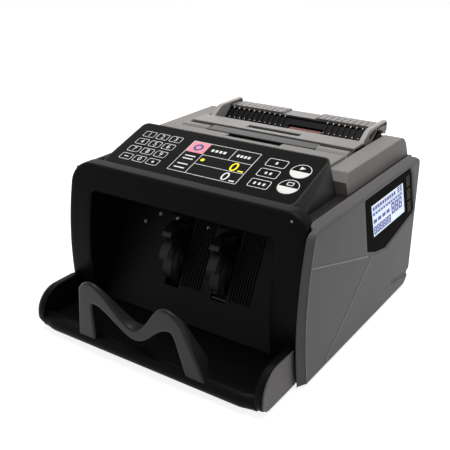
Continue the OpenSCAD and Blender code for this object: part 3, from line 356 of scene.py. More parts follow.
# from the rear edge round the front edge, across the face, round the mouth's edge and into the mouth
fascia_rows = [[]]
for x, z, nx, nz in fascia_out:
    y = bow(z) + edge_r(nz)
    fascia_rows[0].append(at(x, y + 0.2 + (FASCIA_REAR_Y - y) * nz, z))
for c, s in arc(0, 0, 1, 7, 0, 90):
    row = []
    for x, z, nx, nz in fascia_out:
        r = edge_r(nz)
        inset = r * (1 - c)
        zi = z - nz * inset
        row.append(at(x - nx * inset, bow(zi) + r * (1 - s), zi))
    fascia_rows.append(row)
for t in (0.2, 0.4, 0.6, 0.8, 1.0):
    row = []
    for (x, z, nx, nz), (mx, mz, mnx, mnz) in zip(fascia_out, mouth):
        r = edge_r(nz)
        ox, oz = x - nx * r, z - nz * r
        ix, iz = mx + mnx * MOUTH_R, mz + mnz * MOUTH_R
        px, pz = ox + (ix - ox) * t, oz + (iz - oz) * t
        row.append(at(px, bow(pz), pz))
    fascia_rows.append(row)
for c, s in arc(0, 0, 1, 5, 0, 90)[1:]:
    fascia_rows.append([at(x + nx * MOUTH_R * (1 - s), bow(z) + MOUTH_R * (1 - c), z + nz * MOUTH_R * (1 - s))
                        for x, z, nx, nz in mouth])
fascia_rows.append([at(x, bow(z) + 5.5, z) for x, z, nx, nz in mouth])
fascia_bm = bmesh.new()
skin(fascia_bm, fascia_rows)
bmesh.ops.recalc_face_normals(fascia_bm, faces=fascia_bm.faces)
if sum(f.normal.y * f.calc_area() for f in fascia_bm.faces) > 0:
    bmesh.ops.reverse_faces(fascia_bm, faces=fascia_bm.faces)
bmesh.ops.solidify(fascia_bm, geom=fascia_bm.faces[:], thickness=0.0018)
keep("fascia_moulding", fascia_bm, black_abs, ("front_fascia",), sharp=50)

# Stacker pocket: a black ABS liner and a sloping back plate behind the mouth, screwed to the frame plates.
# Small clear windows in the back plate cover the light gates that watch the sheets, and a tiny lamp window
# sits at the right end of the brow.
BACK_LEAN = math.radians(27)
# grained ABS: black and dull, so that the pocket stays dark
pocket_abs = moulded("black_abs_grained", "#0a0909", 0.5, 0.8, 0.04, specular=0.1)


def repaint(material, *nodes):
    """Gives CAD nodes whose shape is right their finished material."""
    for node in nodes:
        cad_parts[node].data.materials.clear()
        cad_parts[node].data.materials.append(material)


repaint(pocket_abs, "stacker_pocket", "stacker_back_plate")
# clear acrylic: small pale points with a sharp highlight
clear_window = moulded("clear_acrylic_moulded", "#c9ccd0", 0.12, 2.0, 0.005, specular=0.5)


def solid(bm, rings):
    """A closed body: rings joined one to the next, with the first and the last capped."""
    rows = skin(bm, rings, closed=True)
    bm.faces.new(rows[0][::-1])
    bm.faces.new(rows[-1])


def ring(place, points, h):
    """An outline on a face, at a height above it. All of it is in millimetres."""
    return [place @ Vector((x / 1000, y / 1000, h / 1000)) for x, y in points]


def inlay(bm, place, outer, low, high, inner=None):
    """A thin shape on a face, between two heights, open in the middle where inner is given."""
    rings = [ring(place, outer, low), ring(place, outer, high)]
    if inner:
        rings += [ring(place, inner, high), ring(place, inner, low)]
        skin(bm, rings + rings[:1], closed=True)
    else:
        solid(bm, rings)


def rounded(x0, y0, x1, y1, r, n=5):
    """Outline of a rectangle with round corners."""
    corners = ((x1 - r, y1 - r, 0), (x0 + r, y1 - r, 90), (x0 + r, y0 + r, 180), (x1 - r, y0 + r, 270))
    return [point for x, y, a in corners for point in arc(x, y, r, n + 1, a, 90)]


back_place = Matrix.Translation(at(0, 62, 9.41)) @ Matrix.Rotation(math.pi / 2 - BACK_LEAN, 4, "X")
gates_bm = bmesh.new()
for gate_x, gate_up in ((-68.7, 75.4), (-54.5, 85.2), (-35.3, 84.9), (-1.8, 84.4)):
    inlay(gates_bm, back_place, arc(gate_x, gate_up, 1.7, 16), 0.0, 0.7)
    inlay(gates_bm, back_place, arc(gate_x, gate_up, 1.1, 16), 0.6, 1.1)
brow_place = Matrix.Translation(at(101.9, bow(131), 131)) @ Matrix.Rotation(math.radians(90), 4, "X")
inlay(gates_bm, brow_place, arc(0, 0, 0.8, 16), -0.6, 0.25)
keep("pocket_light_gates", gates_bm, clear_window)

# Stacker wheels: thin curved blades on a hub, moulded in a tough dark plastic. They turn on the stacker shaft
# and lay each sheet flat. The narrow fins beside them on the back plate keep the sheets from sticking.
# Moulded polyurethane: dark, with a soft shine along the blades' edges.
blade_plastic = moulded("dark_polyurethane_moulded", "#201f1e", 0.42, 1.2, 0.02, specular=0.2)
repaint(blade_plastic, "left_stacker_wheel", "right_stacker_wheel")


def repeated(name, unit, count, start, pitch, material):
    """Geometry Nodes: copies of one unit along a straight row, made into a plain mesh."""
    unit_mesh = bpy.data.meshes.new(name + "_unit")
    unit.to_mesh(unit_mesh)
    unit.free()
    holder = bpy.data.objects.new(name + "_row", unit_mesh)
    scene.collection.objects.link(holder)
    tree = bpy.data.node_groups.new(name + "_row", "GeometryNodeTree")
    tree.interface.new_socket("Unit", in_out="INPUT", socket_type="NodeSocketGeometry")
    keys = {label: tree.interface.new_socket(label, in_out="INPUT", socket_type=kind).identifier
            for label, kind in (("Count", "NodeSocketInt"), ("Start", "NodeSocketVector"),
                                ("Pitch", "NodeSocketVector"), ("Finish", "NodeSocketMaterial"))}
    tree.interface.new_socket("Row", in_out="OUTPUT", socket_type="NodeSocketGeometry")
    given = add_node(tree, "NodeGroupInput").outputs
    line = add_node(tree, "GeometryNodeMeshLine", {"Count": given["Count"], "Start Location": given["Start"],
                                                   "Offset": given["Pitch"]}, mode="OFFSET")
    copies = add_node(tree, "GeometryNodeInstanceOnPoints", {"Points": line.outputs["Mesh"],
                                                             "Instance": given["Unit"]})
    real = add_node(tree, "GeometryNodeRealizeInstances", {"Geometry": copies.outputs["Instances"]})
    painted = add_node(tree, "GeometryNodeSetMaterial", {"Geometry": real.outputs["Geometry"],
                                                         "Material": given["Finish"]})
    add_node(tree, "NodeGroupOutput", {"Row": painted.outputs["Geometry"]})
    row = holder.modifiers.new("row", "NODES")
    row.node_group = tree
    row[keys["Count"]], row[keys["Start"]], row[keys["Pitch"]] = count, start, pitch
    row[keys["Finish"]] = material
    plain = bpy.data.meshes.new_from_object(holder.evaluated_get(bpy.context.evaluated_depsgraph_get()))
    bpy.data.objects.remove(holder)
    made = bmesh.new()
    made.from_mesh(plain)
    return made


FIN_PITCH = 2.6
for fin_side, fin_x in (("left", -14.0), ("right", 35.5)):
    fin_unit = bmesh.new()
    inlay(fin_unit, Matrix.Identity(4), rounded(-0.5, 0, 0.5, 62, 0.45, 3), 0.0, 1.5)
    fins_bm = repeated(f"{fin_side}_pocket_fins", fin_unit, 8, (fin_x / 1000, 0.03, 0),
                       (FIN_PITCH / 1000, 0, 0), pocket_abs)
    bmesh.ops.transform(fins_bm, matrix=back_place, verts=fins_bm.verts)
    keep(f"{fin_side}_pocket_fins", fins_bm, pocket_abs)

# Tray: black ABS floor with a rounded lip between two cheeks, screwed under the fascia. A grey plate is let
# into the outside of each cheek and leaves a black rim.


def round_edges(bm, edges, r, parts):
    """Rounds edges to a radius in millimetres."""
    bmesh.ops.bevel(bm, geom=edges, offset=r / 1000, offset_type="OFFSET", segments=parts, profile=0.5,
                    affect="EDGES", clamp_overlap=True)


def soften(node, width, material, body="machine", parts=2):
    """A copy of a CAD node with its sharp edges rounded, as they leave the mould."""
    bm = bmesh.new()
    bm.from_mesh(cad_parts[node].data)
    bmesh.ops.remove_doubles(bm, verts=bm.verts, dist=1e-5)
    bmesh.ops.dissolve_limit(bm, angle_limit=math.radians(0.5), verts=bm.verts, edges=bm.edges)
    sharp_from = math.radians(30)
    edges = [e for e in bm.edges if e.is_manifold and e.calc_face_angle(0.0) > sharp_from]
    round_edges(bm, edges, width, parts)
    return even(keep(node + "_moulding", bm, material, (node,), body, sharp=50, turn=False))


def slab(bm, x0, x1, y0, y1, z0, z1, r):
    """A block with rounded edges."""
    x0, x1 = sorted((x0, x1))
    corners = [at(x, y, z) for z in (z0, z1) for x, y in ((x0, y0), (x1, y0), (x1, y1), (x0, y1))]
    verts = [bm.verts.new(p) for p in corners]
    faces = [bm.faces.new([verts[i] for i in f]) for f in
             ((3, 2, 1, 0), (4, 5, 6, 7), (0, 1, 5, 4), (1, 2, 6, 5), (2, 3, 7, 6), (3, 0, 4, 7))]
    round_edges(bm, list(dict.fromkeys(e for f in faces for e in f.edges)), r, 3)


def drawn_in(points, d):
    """The outline with every edge moved inwards by d."""
    moved = []
    for a, b, c in zip(points[-1:] + points[:-1], points, points[1:] + points[:1]):
        ab, bc = Vector(b) - Vector(a), Vector(c) - Vector(b)
        n1, n2 = Vector((-ab.y, ab.x)).normalized(), Vector((-bc.y, bc.x)).normalized()
        moved.append(Vector(b) + (n1 + n2) * d / (1 + n1.dot(n2)))
    return moved


def plate(bm, outline, x0, x1, r):
    """A flat piece between x0 and x1 with this outline in Y and Z and rounded edges."""
    x0, x1 = sorted((x0, x1))
    turns = arc(0, 0, 1, 5, 0, 90)
    rings = [(x0 + r * (1 - c), r * (1 - s)) for c, s in turns]
    rings += [(x1 - r * (1 - c), r * (1 - s)) for c, s in reversed(turns)]
    solid(bm, [[at(x, *p) for p in drawn_in(outline, d)] for x, d in rings])


TRAY_IN, TRAY_X, CHEEK_R, CHEEK_H, TOE_R, LIP_R = 107.1, 113.5, 22.0, 34.0, 10.0, 6.5
LIP_END = [95, 98, 101, 104, 106.5, 108]
tray_bm = bmesh.new()
lip_rows = []
for lip_x in [-x for x in reversed(LIP_END)] + [-90 + 15 * i for i in range(13)] + LIP_END:
    near_end = step(94, 107, abs(lip_x))
    back, low = 2 * near_end, 1.2 * near_end
    lip = [(4.5 + back + (LIP_R + low) * c + low, LIP_R + LIP_R * s) for c, s in arc(0, 0, 1, 17, 90, 180)]
    lip += [(51.2, 0), (49.9, 8.4), (14, 8.4), (12.2, 8.8), (11.2, 10), (10.9, 11.2), (10.2, 12.5), (9, 13)]
    lip_rows.append([at(lip_x, y, z) for y, z in lip])
solid(tray_bm, lip_rows)
# the floor runs on into the pocket
slab(tray_bm, -90.6, 90.6, 42, 64, 0, 8.35, 0.4)
cheek_edge = arc(TOE_R, TOE_R, TOE_R, 13, 180, 90)
cheek_edge += [(bow(z) - 0.05, z) for z in (0, 8.5, 17, 25.5, 34)]
cheek_edge += arc(CHEEK_R, CHEEK_H - CHEEK_R, CHEEK_R, 19, 90, 90)
for side in (-1, 1):
    plate(tray_bm, cheek_edge, side * TRAY_IN, side * TRAY_X, 1.6)
even(keep("stacker_tray_moulding", tray_bm, black_abs, ("stacker_tray",), sharp=50))
# grained ABS: a little lighter than the side covers
cheek_abs = moulded("grey_abs_fine_grained", "#5f5c5b", 0.45, 0.9, 0.04, specular=0.2)
for cheek in ("left_tray_cheek", "right_tray_cheek"):
    soften(cheek, 0.6, cheek_abs)

# Stop: a two-humped hoop that leans out over the lip and holds the pile upright, moulded in dark grey ABS
# with a satin face and glued into the lip.
# Satin ABS: dark grey with soft highlights along the rounded edges.
dark_abs = moulded("dark_grey_abs_satin", "#1f1d1d", 0.36, 0.8, 0.02, specular=0.16)
STOP_H, HUMP_X, SADDLE_H, SHOULDER_X, SHOULDER_H = 57.0, 37.0, 25.0, 51.0, 48.5
UNDER_X, UNDER_LOW, UNDER_HIGH, LEG_X, LEG_FOOT = 38.5, 13.5, 36.0, 41.5, -5.5
STOP_LEAN, ROOT_H = 10.876, 13.0


def stop_top(x):
    """Upper edge of the hoop above the lip, at this distance from its middle."""
    x = abs(x)
    if x <= HUMP_X:
        return SADDLE_H + (STOP_H - SADDLE_H) * (1 - math.cos(math.pi * x / HUMP_X)) / 2
    if x <= SHOULDER_X:
        return STOP_H - (STOP_H - SHOULDER_H) * ((x - HUMP_X) / (SHOULDER_X - HUMP_X)) ** 2
    return SHOULDER_H - (x - SHOULDER_X) * 54 / 14.5


def stop_under(x):
    """Lower edge of the hoop above the lip."""
    x = abs(x)
    if x <= UNDER_X:
        return UNDER_LOW + (UNDER_HIGH - UNDER_LOW) * (1 - math.cos(math.pi * x / UNDER_X)) / 2
    if x <= LEG_X:
        return UNDER_HIGH - 6 * ((x - UNDER_X) / (LEG_X - UNDER_X)) ** 2
    return max(LEG_FOOT, UNDER_HIGH - 6 - (x - LEG_X) * 8)


def stop_depth(h):
    """Front and back of the hoop at height h above the lip."""
    front = -1.5 - STOP_LEAN * h / STOP_H
    if h < ROOT_H:
        return front, 7.5 + 3 * max(0.0, h) / ROOT_H
    return front, 10.5 - (STOP_LEAN + 8) * (h - ROOT_H) / (STOP_H - ROOT_H)


stop_xs = [x / 2 for x in range(0, 130, 2)] + [65.2]
stop_xs = [-x for x in reversed(stop_xs[1:])] + stop_xs
stop_edge = [(x, stop_top(x)) for x in stop_xs] + [(x, stop_under(x)) for x in reversed(stop_xs)]
STOP_R, STOP_ROWS = 2.0, 14
stop_sheets = []
for sheet_side in (0, 1):
    rows = []
    for j in range(STOP_ROWS + 1):
        t = 0.5 - 0.5 * math.cos(math.pi * j / STOP_ROWS)
        row = []
        for x in stop_xs:
            low, high = stop_under(x), stop_top(x)
            h = low + (high - low) * t
            gap = min(line_gap((x, h), a, b)[0] for a, b in zip(stop_edge, stop_edge[1:] + stop_edge[:1])
                      if abs(a[0] - x) < 6)
            front, behind = stop_depth(h)
            r = min(STOP_R, (behind - front) * 0.45)
            y = front + round_drop(gap, r) if sheet_side == 0 else behind - round_drop(gap, r)
            row.append(at(x, y, h + 2 * LIP_R))
        rows.append(row)
    stop_sheets.append(rows)
stop_bm = bmesh.new()
shell(stop_bm, *stop_sheets)
keep("note_stop_hoop", stop_bm, dark_abs, ("note_stop",), sharp=60)

# Console: a dark grey wedge with spreading flanks that carries the key panel. The panel is one glossy printed
# film over the keys and the display, flush in a shallow recess.
# Satin ABS: nearly black and smoother than the side covers.
console_abs = moulded("near_black_abs_satin", "#181616", 0.38, 0.8, 0.02, specular=0.14)
soften("console_housing", 1.4, console_abs, parts=3)
panel_place = Matrix.Translation(at(0, 73, 136)) @ Matrix.Rotation(math.radians(18.6), 4, "X")
PANEL_W, PANEL_LEN = 186.0, 61.5
# polyester film: the deepest black on the machine, smooth and without grain
film = moulded("black_polyester_film", "#030303", 0.18, 3.0, 0.003, specular=0.06, mottle=0.15)
film_bm = bmesh.new()
film_rings = []
for film_in, film_h in ((0.1, -1.2), (0.1, -0.25), (0.25, -0.05), (0.5, 0.0)):
    film_x = PANEL_W / 2 - film_in
    outline = rounded(-film_x, film_in, film_x, PANEL_LEN - film_in, 5 - film_in, 8)
    film_rings.append(ring(panel_place, outline, film_h))
solid(film_bm, film_rings)
even(keep("panel_film", film_bm, film, ("panel_overlay",)))


def ink(name, colour, glow):
    """Screen-printed ink, slightly uneven as the mesh leaves it. On the display it also gives some light, and
    on the film its faint glow is painted light.
    """
    made = moulded(name, colour, 0.3, 1.5, 0.004, specular=0.3, mottle=0.03)
    shader = made.node_tree.nodes["Principled BSDF"]
    shader.inputs["Emission Color"].default_value = hex_colour(colour)
    shader.inputs["Emission Strength"].default_value = glow
    return made


def stroke(bm, place, a, b, width, low, high):
    """A straight printed line."""
    dx, dy = b[0] - a[0], b[1] - a[1]
    nx, ny = -dy / math.hypot(dx, dy) * width / 2, dx / math.hypot(dx, dy) * width / 2
    one_side = [(a[0] + nx, a[1] + ny), (b[0] + nx, b[1] + ny)]
    inlay(bm, place, one_side + [(b[0] - nx, b[1] - ny), (a[0] - nx, a[1] - ny)], low, high)


def numeral(bm, place, text, x, y, size, low, high):
    """A printed figure, centred on a point of the face."""
    letter = bpy.data.curves.new("figure", "FONT")
    letter.body, letter.size = text, size / 1000
    letter.align_x, letter.align_y = "CENTER", "CENTER"
    letter.extrude = (high - low) / 2000
    holder = bpy.data.objects.new("figure", letter)
    scene.collection.objects.link(holder)
    bpy.context.view_layer.update()
    flat = bpy.data.meshes.new_from_object(holder.evaluated_get(bpy.context.evaluated_depsgraph_get()))
    bpy.data.objects.remove(holder)
    flat.transform(place @ Matrix.Translation((x / 1000, y / 1000, (low + high) / 2000)))
    bm.from_mesh(flat)


# white ink: crisp bright lines on the black film, with a faint painted glow
white_ink_painted_glow = ink("white_screen_ink_painted_glow", "#e6e4e2", 0.1)
# underside and top of the print, from the film's face
PRINT = (-0.05, 0.07)
KEY_X, KEY_Y, KEY_PITCH_X, KEY_PITCH_Y, KEY_FIGURE = -77.6, 12.4, 14.6, 11.6, 7.2
key_unit = bmesh.new()
inlay(key_unit, Matrix.Identity(4), rounded(-6.1, -4.2, 6.1, 4.2, 1.6, 4), *PRINT,
      rounded(-5.6, -3.7, 5.6, 3.7, 1.2, 4))
keypad_unit = repeated("keypad_column", key_unit, 4, (0, 0, 0), (0, KEY_PITCH_Y / 1000, 0), white_ink_painted_glow)
keypad_bm = repeated("keypad", keypad_unit, 3, (KEY_X / 1000, KEY_Y / 1000, 0), (KEY_PITCH_X / 1000, 0, 0),
                     white_ink_painted_glow)
bmesh.ops.transform(keypad_bm, matrix=panel_place, verts=keypad_bm.verts)
for i, figure in enumerate("1234567890"):
    key_col, key_row = (i % 3, 3 - i // 3) if i < 9 else (1, 0)
    numeral(keypad_bm, panel_place, figure, KEY_X + key_col * KEY_PITCH_X, KEY_Y + key_row * KEY_PITCH_Y,
            KEY_FIGURE, *PRINT)
stroke(keypad_bm, panel_place, (KEY_X - 2.2, KEY_Y), (KEY_X + 2.2, KEY_Y), 1.0, *PRINT)
inlay(keypad_bm, panel_place, arc(KEY_X + 2 * KEY_PITCH_X, KEY_Y, 1.3, 16), *PRINT)
# three mode keys: an outline with one, two or three bars
for bars, key_y in ((1, 43.6), (2, 29.5), (3, 15.3)):
    inlay(keypad_bm, panel_place, rounded(46.2, key_y - 5.3, 64.7, key_y + 5.3, 2.0), *PRINT,
          rounded(46.8, key_y - 4.7, 64.1, key_y + 4.7, 1.5))
    for i in range(bars):
        bar_x = 55.45 + (i - (bars - 1) / 2) * 4.2
        stroke(keypad_bm, panel_place, (bar_x, key_y - 1.5), (bar_x, key_y + 1.5), 1.9, *PRINT)
# round keys: a ring, a white lower half and a plain sign in the upper half
ROUND_X = 79.1
for round_y, sign in ((39.8, "start"), (19.2, "sheet")):
    inlay(keypad_bm, panel_place, arc(ROUND_X, round_y, 8.9, 48), *PRINT, arc(ROUND_X, round_y, 8.3, 48))
    inlay(keypad_bm, panel_place, arc(ROUND_X, round_y - 0.4, 8.4, 26, 180, 180), *PRINT)
    if sign == "start":
        inlay(keypad_bm, panel_place, [(77.0, round_y + 1.8), (81.6, round_y + 3.9), (77.0, round_y + 6.0)],
              *PRINT)
    else:
        inlay(keypad_bm, panel_place, rounded(76.2, round_y + 1.6, 82.0, round_y + 5.8, 0.8), *PRINT,
              rounded(76.9, round_y + 2.3, 81.3, round_y + 5.1, 0.4))
keep("panel_print", keypad_bm, white_ink_painted_glow)

# Main display: a colour screen of thin glass, bonded under the film. Fine white rules stand between its
# fields, and it shows only plain figures and generic marks.
# Polished glass: dark and smooth, a little lighter than the film around it.
screen_glass = moulded("dark_glass_polished", "#101012", 0.14, 3.0, 0.002, specular=0.06)
SCREEN_X0, SCREEN_X1, SCREEN_Y0, SCREEN_Y1 = -30.6, 37.4, 8.1, 51.0
screen_bm = bmesh.new()
inlay(screen_bm, panel_place, rounded(SCREEN_X0, SCREEN_Y0, SCREEN_X1, SCREEN_Y1, 0.8), -0.4, 0.05)
keep("main_display_glass", screen_bm, screen_glass, ("main_display",))
MARK, SIGN_MARK = (0.03, 0.11), (0.08, 0.15)
# the lit inks: even colours that give some light of their own
screen_white = ink("white_display_light", "#d8d8d6", 0.35)
rules_bm = bmesh.new()
inlay(rules_bm, panel_place, rounded(SCREEN_X0, SCREEN_Y0, SCREEN_X1, SCREEN_Y1, 0.8), *MARK,
      rounded(SCREEN_X0 + 0.5, SCREEN_Y0 + 0.5, SCREEN_X1 - 0.5, SCREEN_Y1 - 0.5, 0.5))
for rule_a, rule_b in (((-12, 35), (SCREEN_X1, 35)), ((13.8, 35), (13.8, SCREEN_Y1)),
                       ((-11.8, 22), (SCREEN_X1, 22)), ((-11.8, SCREEN_Y0), (-11.8, 35))):
    stroke(rules_bm, panel_place, rule_a, rule_b, 0.5, *MARK)
# plain bars in the upper and left-hand fields
for mark_x, mark_y, mark_w in ((-7.5, 42.8, 16), (18.0, 42.8, 14)):
    for i in range(4):
        stroke(rules_bm, panel_place, (mark_x + i * mark_w / 4, mark_y),
               (mark_x + (i + 0.62) * mark_w / 4, mark_y), 3.2, *MARK)
for mark_y in (30.2, 26.2, 18.6, 13.4):
    stroke(rules_bm, panel_place, (-26.5, mark_y), (-16.0, mark_y), 1.3, *MARK)
numeral(rules_bm, panel_place, "0", 23.8, 14.4, 14.5, *MARK)
stroke(rules_bm, panel_place, (29.6, 10.9), (34.6, 10.9), 1.5, *MARK)
keep("main_display_rules", rules_bm, screen_white)
yellow_bm = bmesh.new()
numeral(yellow_bm, panel_place, "0", 24.2, 27.6, 15.5, *MARK)
inlay(yellow_bm, panel_place, arc(-7.4, 28.4, 1.9, 20), *MARK)
stroke(yellow_bm, panel_place, (29.8, 24.2), (34.8, 24.2), 1.5, *MARK)
keep("main_display_count", yellow_bm, ink("yellow_display_light", "#efe11c", 0.5))
cell_bm = bmesh.new()
inlay(cell_bm, panel_place, rounded(-30.0, 35.6, -12.3, 50.4, 0.4, 3), *MARK)
keep("main_display_cell", cell_bm, ink("pink_display_light", "#d98a97", 0.3))
sign_bm = bmesh.new()
inlay(sign_bm, panel_place, arc(-21.15, 43, 4.6, 36), *SIGN_MARK, arc(-21.15, 43, 2.6, 36))
keep("main_display_sign", sign_bm, ink("blue_display_light", "#2f4a86", 0.2))

# Second display: a black ABS bezel clipped into a shallow pocket of the right-hand cover, a backlit window
# with blue segments and three small keys along its slanting edge.
# ABS with an etched face: matt black that hardly reflects.
bezel_abs = moulded("black_abs_etched", "#0d0b09", 0.45, 0.8, 0.02, specular=0.003)
soften("side_display_bezel", 0.5, bezel_abs)
LCD = [(155.0, 114.2), (224.0, 113.8), (236.4, 81.9), (166.8, 81.6)]


def flank(side, x, y=0, z=0):
    """A place on a face that looks sideways: a drawing's X runs to the rear there and its Y upwards."""
    sideways = Matrix(((0, 0, side, 0), (1, 0, 0, 0), (0, 1, 0, 0), (0, 0, 0, 1)))
    return Matrix.Translation(at(side * x, y, z)) @ sideways


lcd_place = flank(1, 121.1)
# lit from behind: a cold, bluish white
lcd_glow = ink("backlit_lcd_window", "#dcecfa", 0.52)
lcd_bm = bmesh.new()
inlay(lcd_bm, lcd_place, LCD, -1.7, 0.0)
keep("side_lcd_window", lcd_bm, lcd_glow, ("side_display_glass",))
SEGMENT = (-0.02, 0.05)
seg_bm = bmesh.new()


def lcd_point(u, v):
    """A place on the slanting window: u from its left to its right edge, v from its foot to its top."""
    tl, tr, br, bl = LCD
    low = (bl[0] + (br[0] - bl[0]) * u, bl[1] + (br[1] - bl[1]) * u)
    high = (tl[0] + (tr[0] - tl[0]) * u, tl[1] + (tr[1] - tl[1]) * u)
    return low[0] + (high[0] - low[0]) * v, low[1] + (high[1] - low[1]) * v


def lcd_patch(u0, v0, u1, v1):
    """One segment of the window."""
    corners = [lcd_point(u, v) for u, v in ((u0, v0), (u1, v0), (u1, v1), (u0, v1))]
    inlay(seg_bm, lcd_place, corners, *SEGMENT)


def lcd_eight(u0, v0, u1, v1):
    """A figure eight of seven segments."""
    t, g = (u1 - u0) * 0.36, (u1 - u0) * 0.03
    w = t * 1.8
    mid = (v0 + v1) / 2
    for v in (v0, mid - w / 2, v1 - w):
        lcd_patch(u0 + t + g, v, u1 - t - g, v + w)
    for u in (u0, u1 - t):
        lcd_patch(u, v0 + g, u + t, mid - g)
        lcd_patch(u, mid + g, u + t, v1 - g)


for i in range(3):
    lcd_eight(0.585 + 0.12 * i, 0.24, 0.69 + 0.12 * i, 0.62)
for i in range(6):
    lcd_eight(0.035 + 0.088 * i, 0.05, 0.113 + 0.088 * i, 0.31)
lcd_patch(0.03, 0.735, 0.97, 0.75)
# rows of plain bars: how many, the first one's left edge, pitch, width, foot and top
BAR_ROWS = [(10, 0.04, 0.072, 0.058, 0.80, 0.915), (12, 0.035, 0.078, 0.063, 0.645, 0.715),
            (4, 0.04, 0.13, 0.1, 0.40, 0.52)]
BAR_ROWS += [(2, 0.81, 0.08, 0.065, v, v + 0.05) for v in (0.785, 0.85, 0.915)]
for count, bar_u, pitch, width, foot, head in BAR_ROWS:
    for i in range(count):
        lcd_patch(bar_u + pitch * i, foot, bar_u + pitch * i + width, head)
keep("side_lcd_segments", seg_bm, ink("blue_lcd_segments", "#2626b0", 0.12))
# matt ABS keys, hardly lighter than the bezel, with a dull olive pad print
key_abs = moulded("olive_grey_abs_matt", "#14120e", 0.45, 0.8, 0.02, specular=0.03)
key_ink = moulded("olive_pad_ink", "#4a4434", 0.45, 1.5, 0.004, specular=0.02, mottle=0.03)
KEY_SLANT, KEYS_Y, KEYS_Z, KEYS_PITCH, KEY_PRINT = 12 / 32, 227.7, 117.8, 13.8, (-0.05, 0.1)


def on_key(number, x0, z0, x1, z1, r, n=5):
    """A rounded outline on one of the keys, slanted as the key is."""
    key_z = KEYS_Z - KEYS_PITCH * (number - 1)
    key_y = KEYS_Y + (KEYS_Z - key_z) * KEY_SLANT
    return [(key_y + x - z * KEY_SLANT, key_z + z) for x, z in rounded(x0, z0, x1, z1, r, n)]


key_place = flank(1, 121.9)
for key_no in (1, 2, 3):
    soften(f"side_key_{key_no}", 0.4, key_abs, f"key_{key_no}")
    mark_bm = bmesh.new()
    inlay(mark_bm, key_place, on_key(key_no, 0.9, -10.7, 8.1, -0.9, 1.6), *KEY_PRINT,
          on_key(key_no, 1.5, -10.1, 7.5, -1.5, 1.2))
    for bar in range(key_no):
        bar_z = -8.2 + 2.2 * bar
        inlay(mark_bm, key_place, on_key(key_no, 3.0, bar_z, 6.0, bar_z + 1.0, 0.3, 3), *KEY_PRINT)
    keep(f"side_key_{key_no}_mark", mark_bm, key_ink, body=f"key_{key_no}")

# Trim lines on the side covers: narrow raised ribs of the same ABS moulding, cut into the mould and polished.
# Smoother than the face around them, they are also a paler grey: a painted highlight that draws fine light
# lines.
trim_abs_painted_highlight = moulded("grey_abs_rib_painted_highlight", "#7d7a78", 0.3, 2.0, 0.005, specular=0.2)
TRIM = [[(154.3, 69.2), (59.5, 98.1)], [(165.4, 66.6), (126, 34.7), (86.9, 7.4), (84.6, 2.5)]]
BAND_TRIM = [[(59.5, 98.1), (52.4, 100.26)], [(band_end(z) + 0.3, z) for z in range(4, 121, 4)]]
for side, trim_x, trim_lines in ((-1, LEFT_X, TRIM), (1, RIGHT_X, TRIM + BAND_TRIM)):
    trim_bm = bmesh.new()
    for line in trim_lines:
        line_w = 1.1 if len(line) < 9 else 0.6
        for a, b in zip(line, line[1:]):
            stroke(trim_bm, flank(side, trim_x), a, b, line_w, -0.3, 0.35)
    keep(("right" if side > 0 else "left") + "_cover_trim", trim_bm, trim_abs_painted_highlight)

# Top housing: two raised rails on a flat deck, joined by the strip behind the console. A grey ABS moulding
# with rounded edges, screwed down from inside. The deck at the rails' feet is painted shade, as dark as the
# console.
DECK_X, DECK_Y0, DECK_LOW, DECK_Z = 113.5, 72.5, 124, 127.5
RAIL_RISE, RAIL_OUT, RAIL_IN, RAIL_FOOT, RAIL_R = 16.9, 106.0, 88.0, 109.0, 1.1
STRIP_X, STRIP_Y0, STRIP_Y1, STRIP_LOW, STRIP_Z, REAR_Y = 88.6, 134.59, 171.59, 142.4, 147.0, 262.4
housing_bm = bmesh.new()
shaded_deck_bm = bmesh.new()
# height of the rails above the deck, from their slanting front ends to their rounded rear ends
rail_stations = [(134.6, 9.9), (139.9, 16.1), (140.3, 16.5), (140.8, 16.8), (141.4, RAIL_RISE)]
rail_stations += [(145 + i * 8.2, RAIL_RISE) for i in range(14)]
rail_stations += arc(REAR_Y - REAR_R, RAIL_RISE - REAR_R, REAR_R, 9, 90, -90)
for side in (-1, 1):
    rail_rows = []
    for y, h in rail_stations:
        lean = (RAIL_FOOT - RAIL_OUT) * (1 - h / RAIL_RISE)
        r = min(RAIL_R, max(0.05, h * 0.45))
        top = DECK_Z + h
        outer = RAIL_OUT + lean
        row = [(RAIL_FOOT + 0.2, DECK_Z - 0.1)]
        row += arc(outer - r, top - r, r, 7, 0, 90)
        row += arc(RAIL_IN + r * 0.4, top - r * 0.4, r * 0.4, 5, 90, 90)
        row += [(RAIL_IN, DECK_Z - 0.1)]
        rail_rows.append([at(side * x, y, z) for x, z in row])
    solid(housing_bm, rail_rows)
    # the deck's blocks differ slightly in height, so that no two faces coincide
    slab(shaded_deck_bm, side * RAIL_OUT, side * DECK_X, DECK_Y0, REAR_Y, DECK_LOW, DECK_Z, 0.6)
    slab(shaded_deck_bm, side * 92, side * DECK_X, DECK_Y0, 192, DECK_LOW, DECK_Z - 0.05, 0.6)
slab(shaded_deck_bm, 0.1 - DECK_X, DECK_X - 0.1, DECK_Y0 + 0.1, 77.5, DECK_LOW + 0.05, DECK_Z - 0.1, 0.6)
slab(housing_bm, -STRIP_X, STRIP_X, STRIP_Y0, STRIP_Y0 + 8.5, STRIP_LOW, STRIP_Z, 1.0)
for side in (-1, 1):
    slab(housing_bm, side * 28, side * STRIP_X, STRIP_Y0 + 1.2, STRIP_Y1, STRIP_LOW, STRIP_Z, 1.0)
slab(housing_bm, -28.5, 28.5, STRIP_Y0 + 1.2, 164.5, STRIP_LOW, STRIP_Z, 1.0)
slab(housing_bm, -88.5, 88.5, STRIP_Y0 + 0.1, STRIP_Y0 + 2.2, 125.5, 145, 0.4)
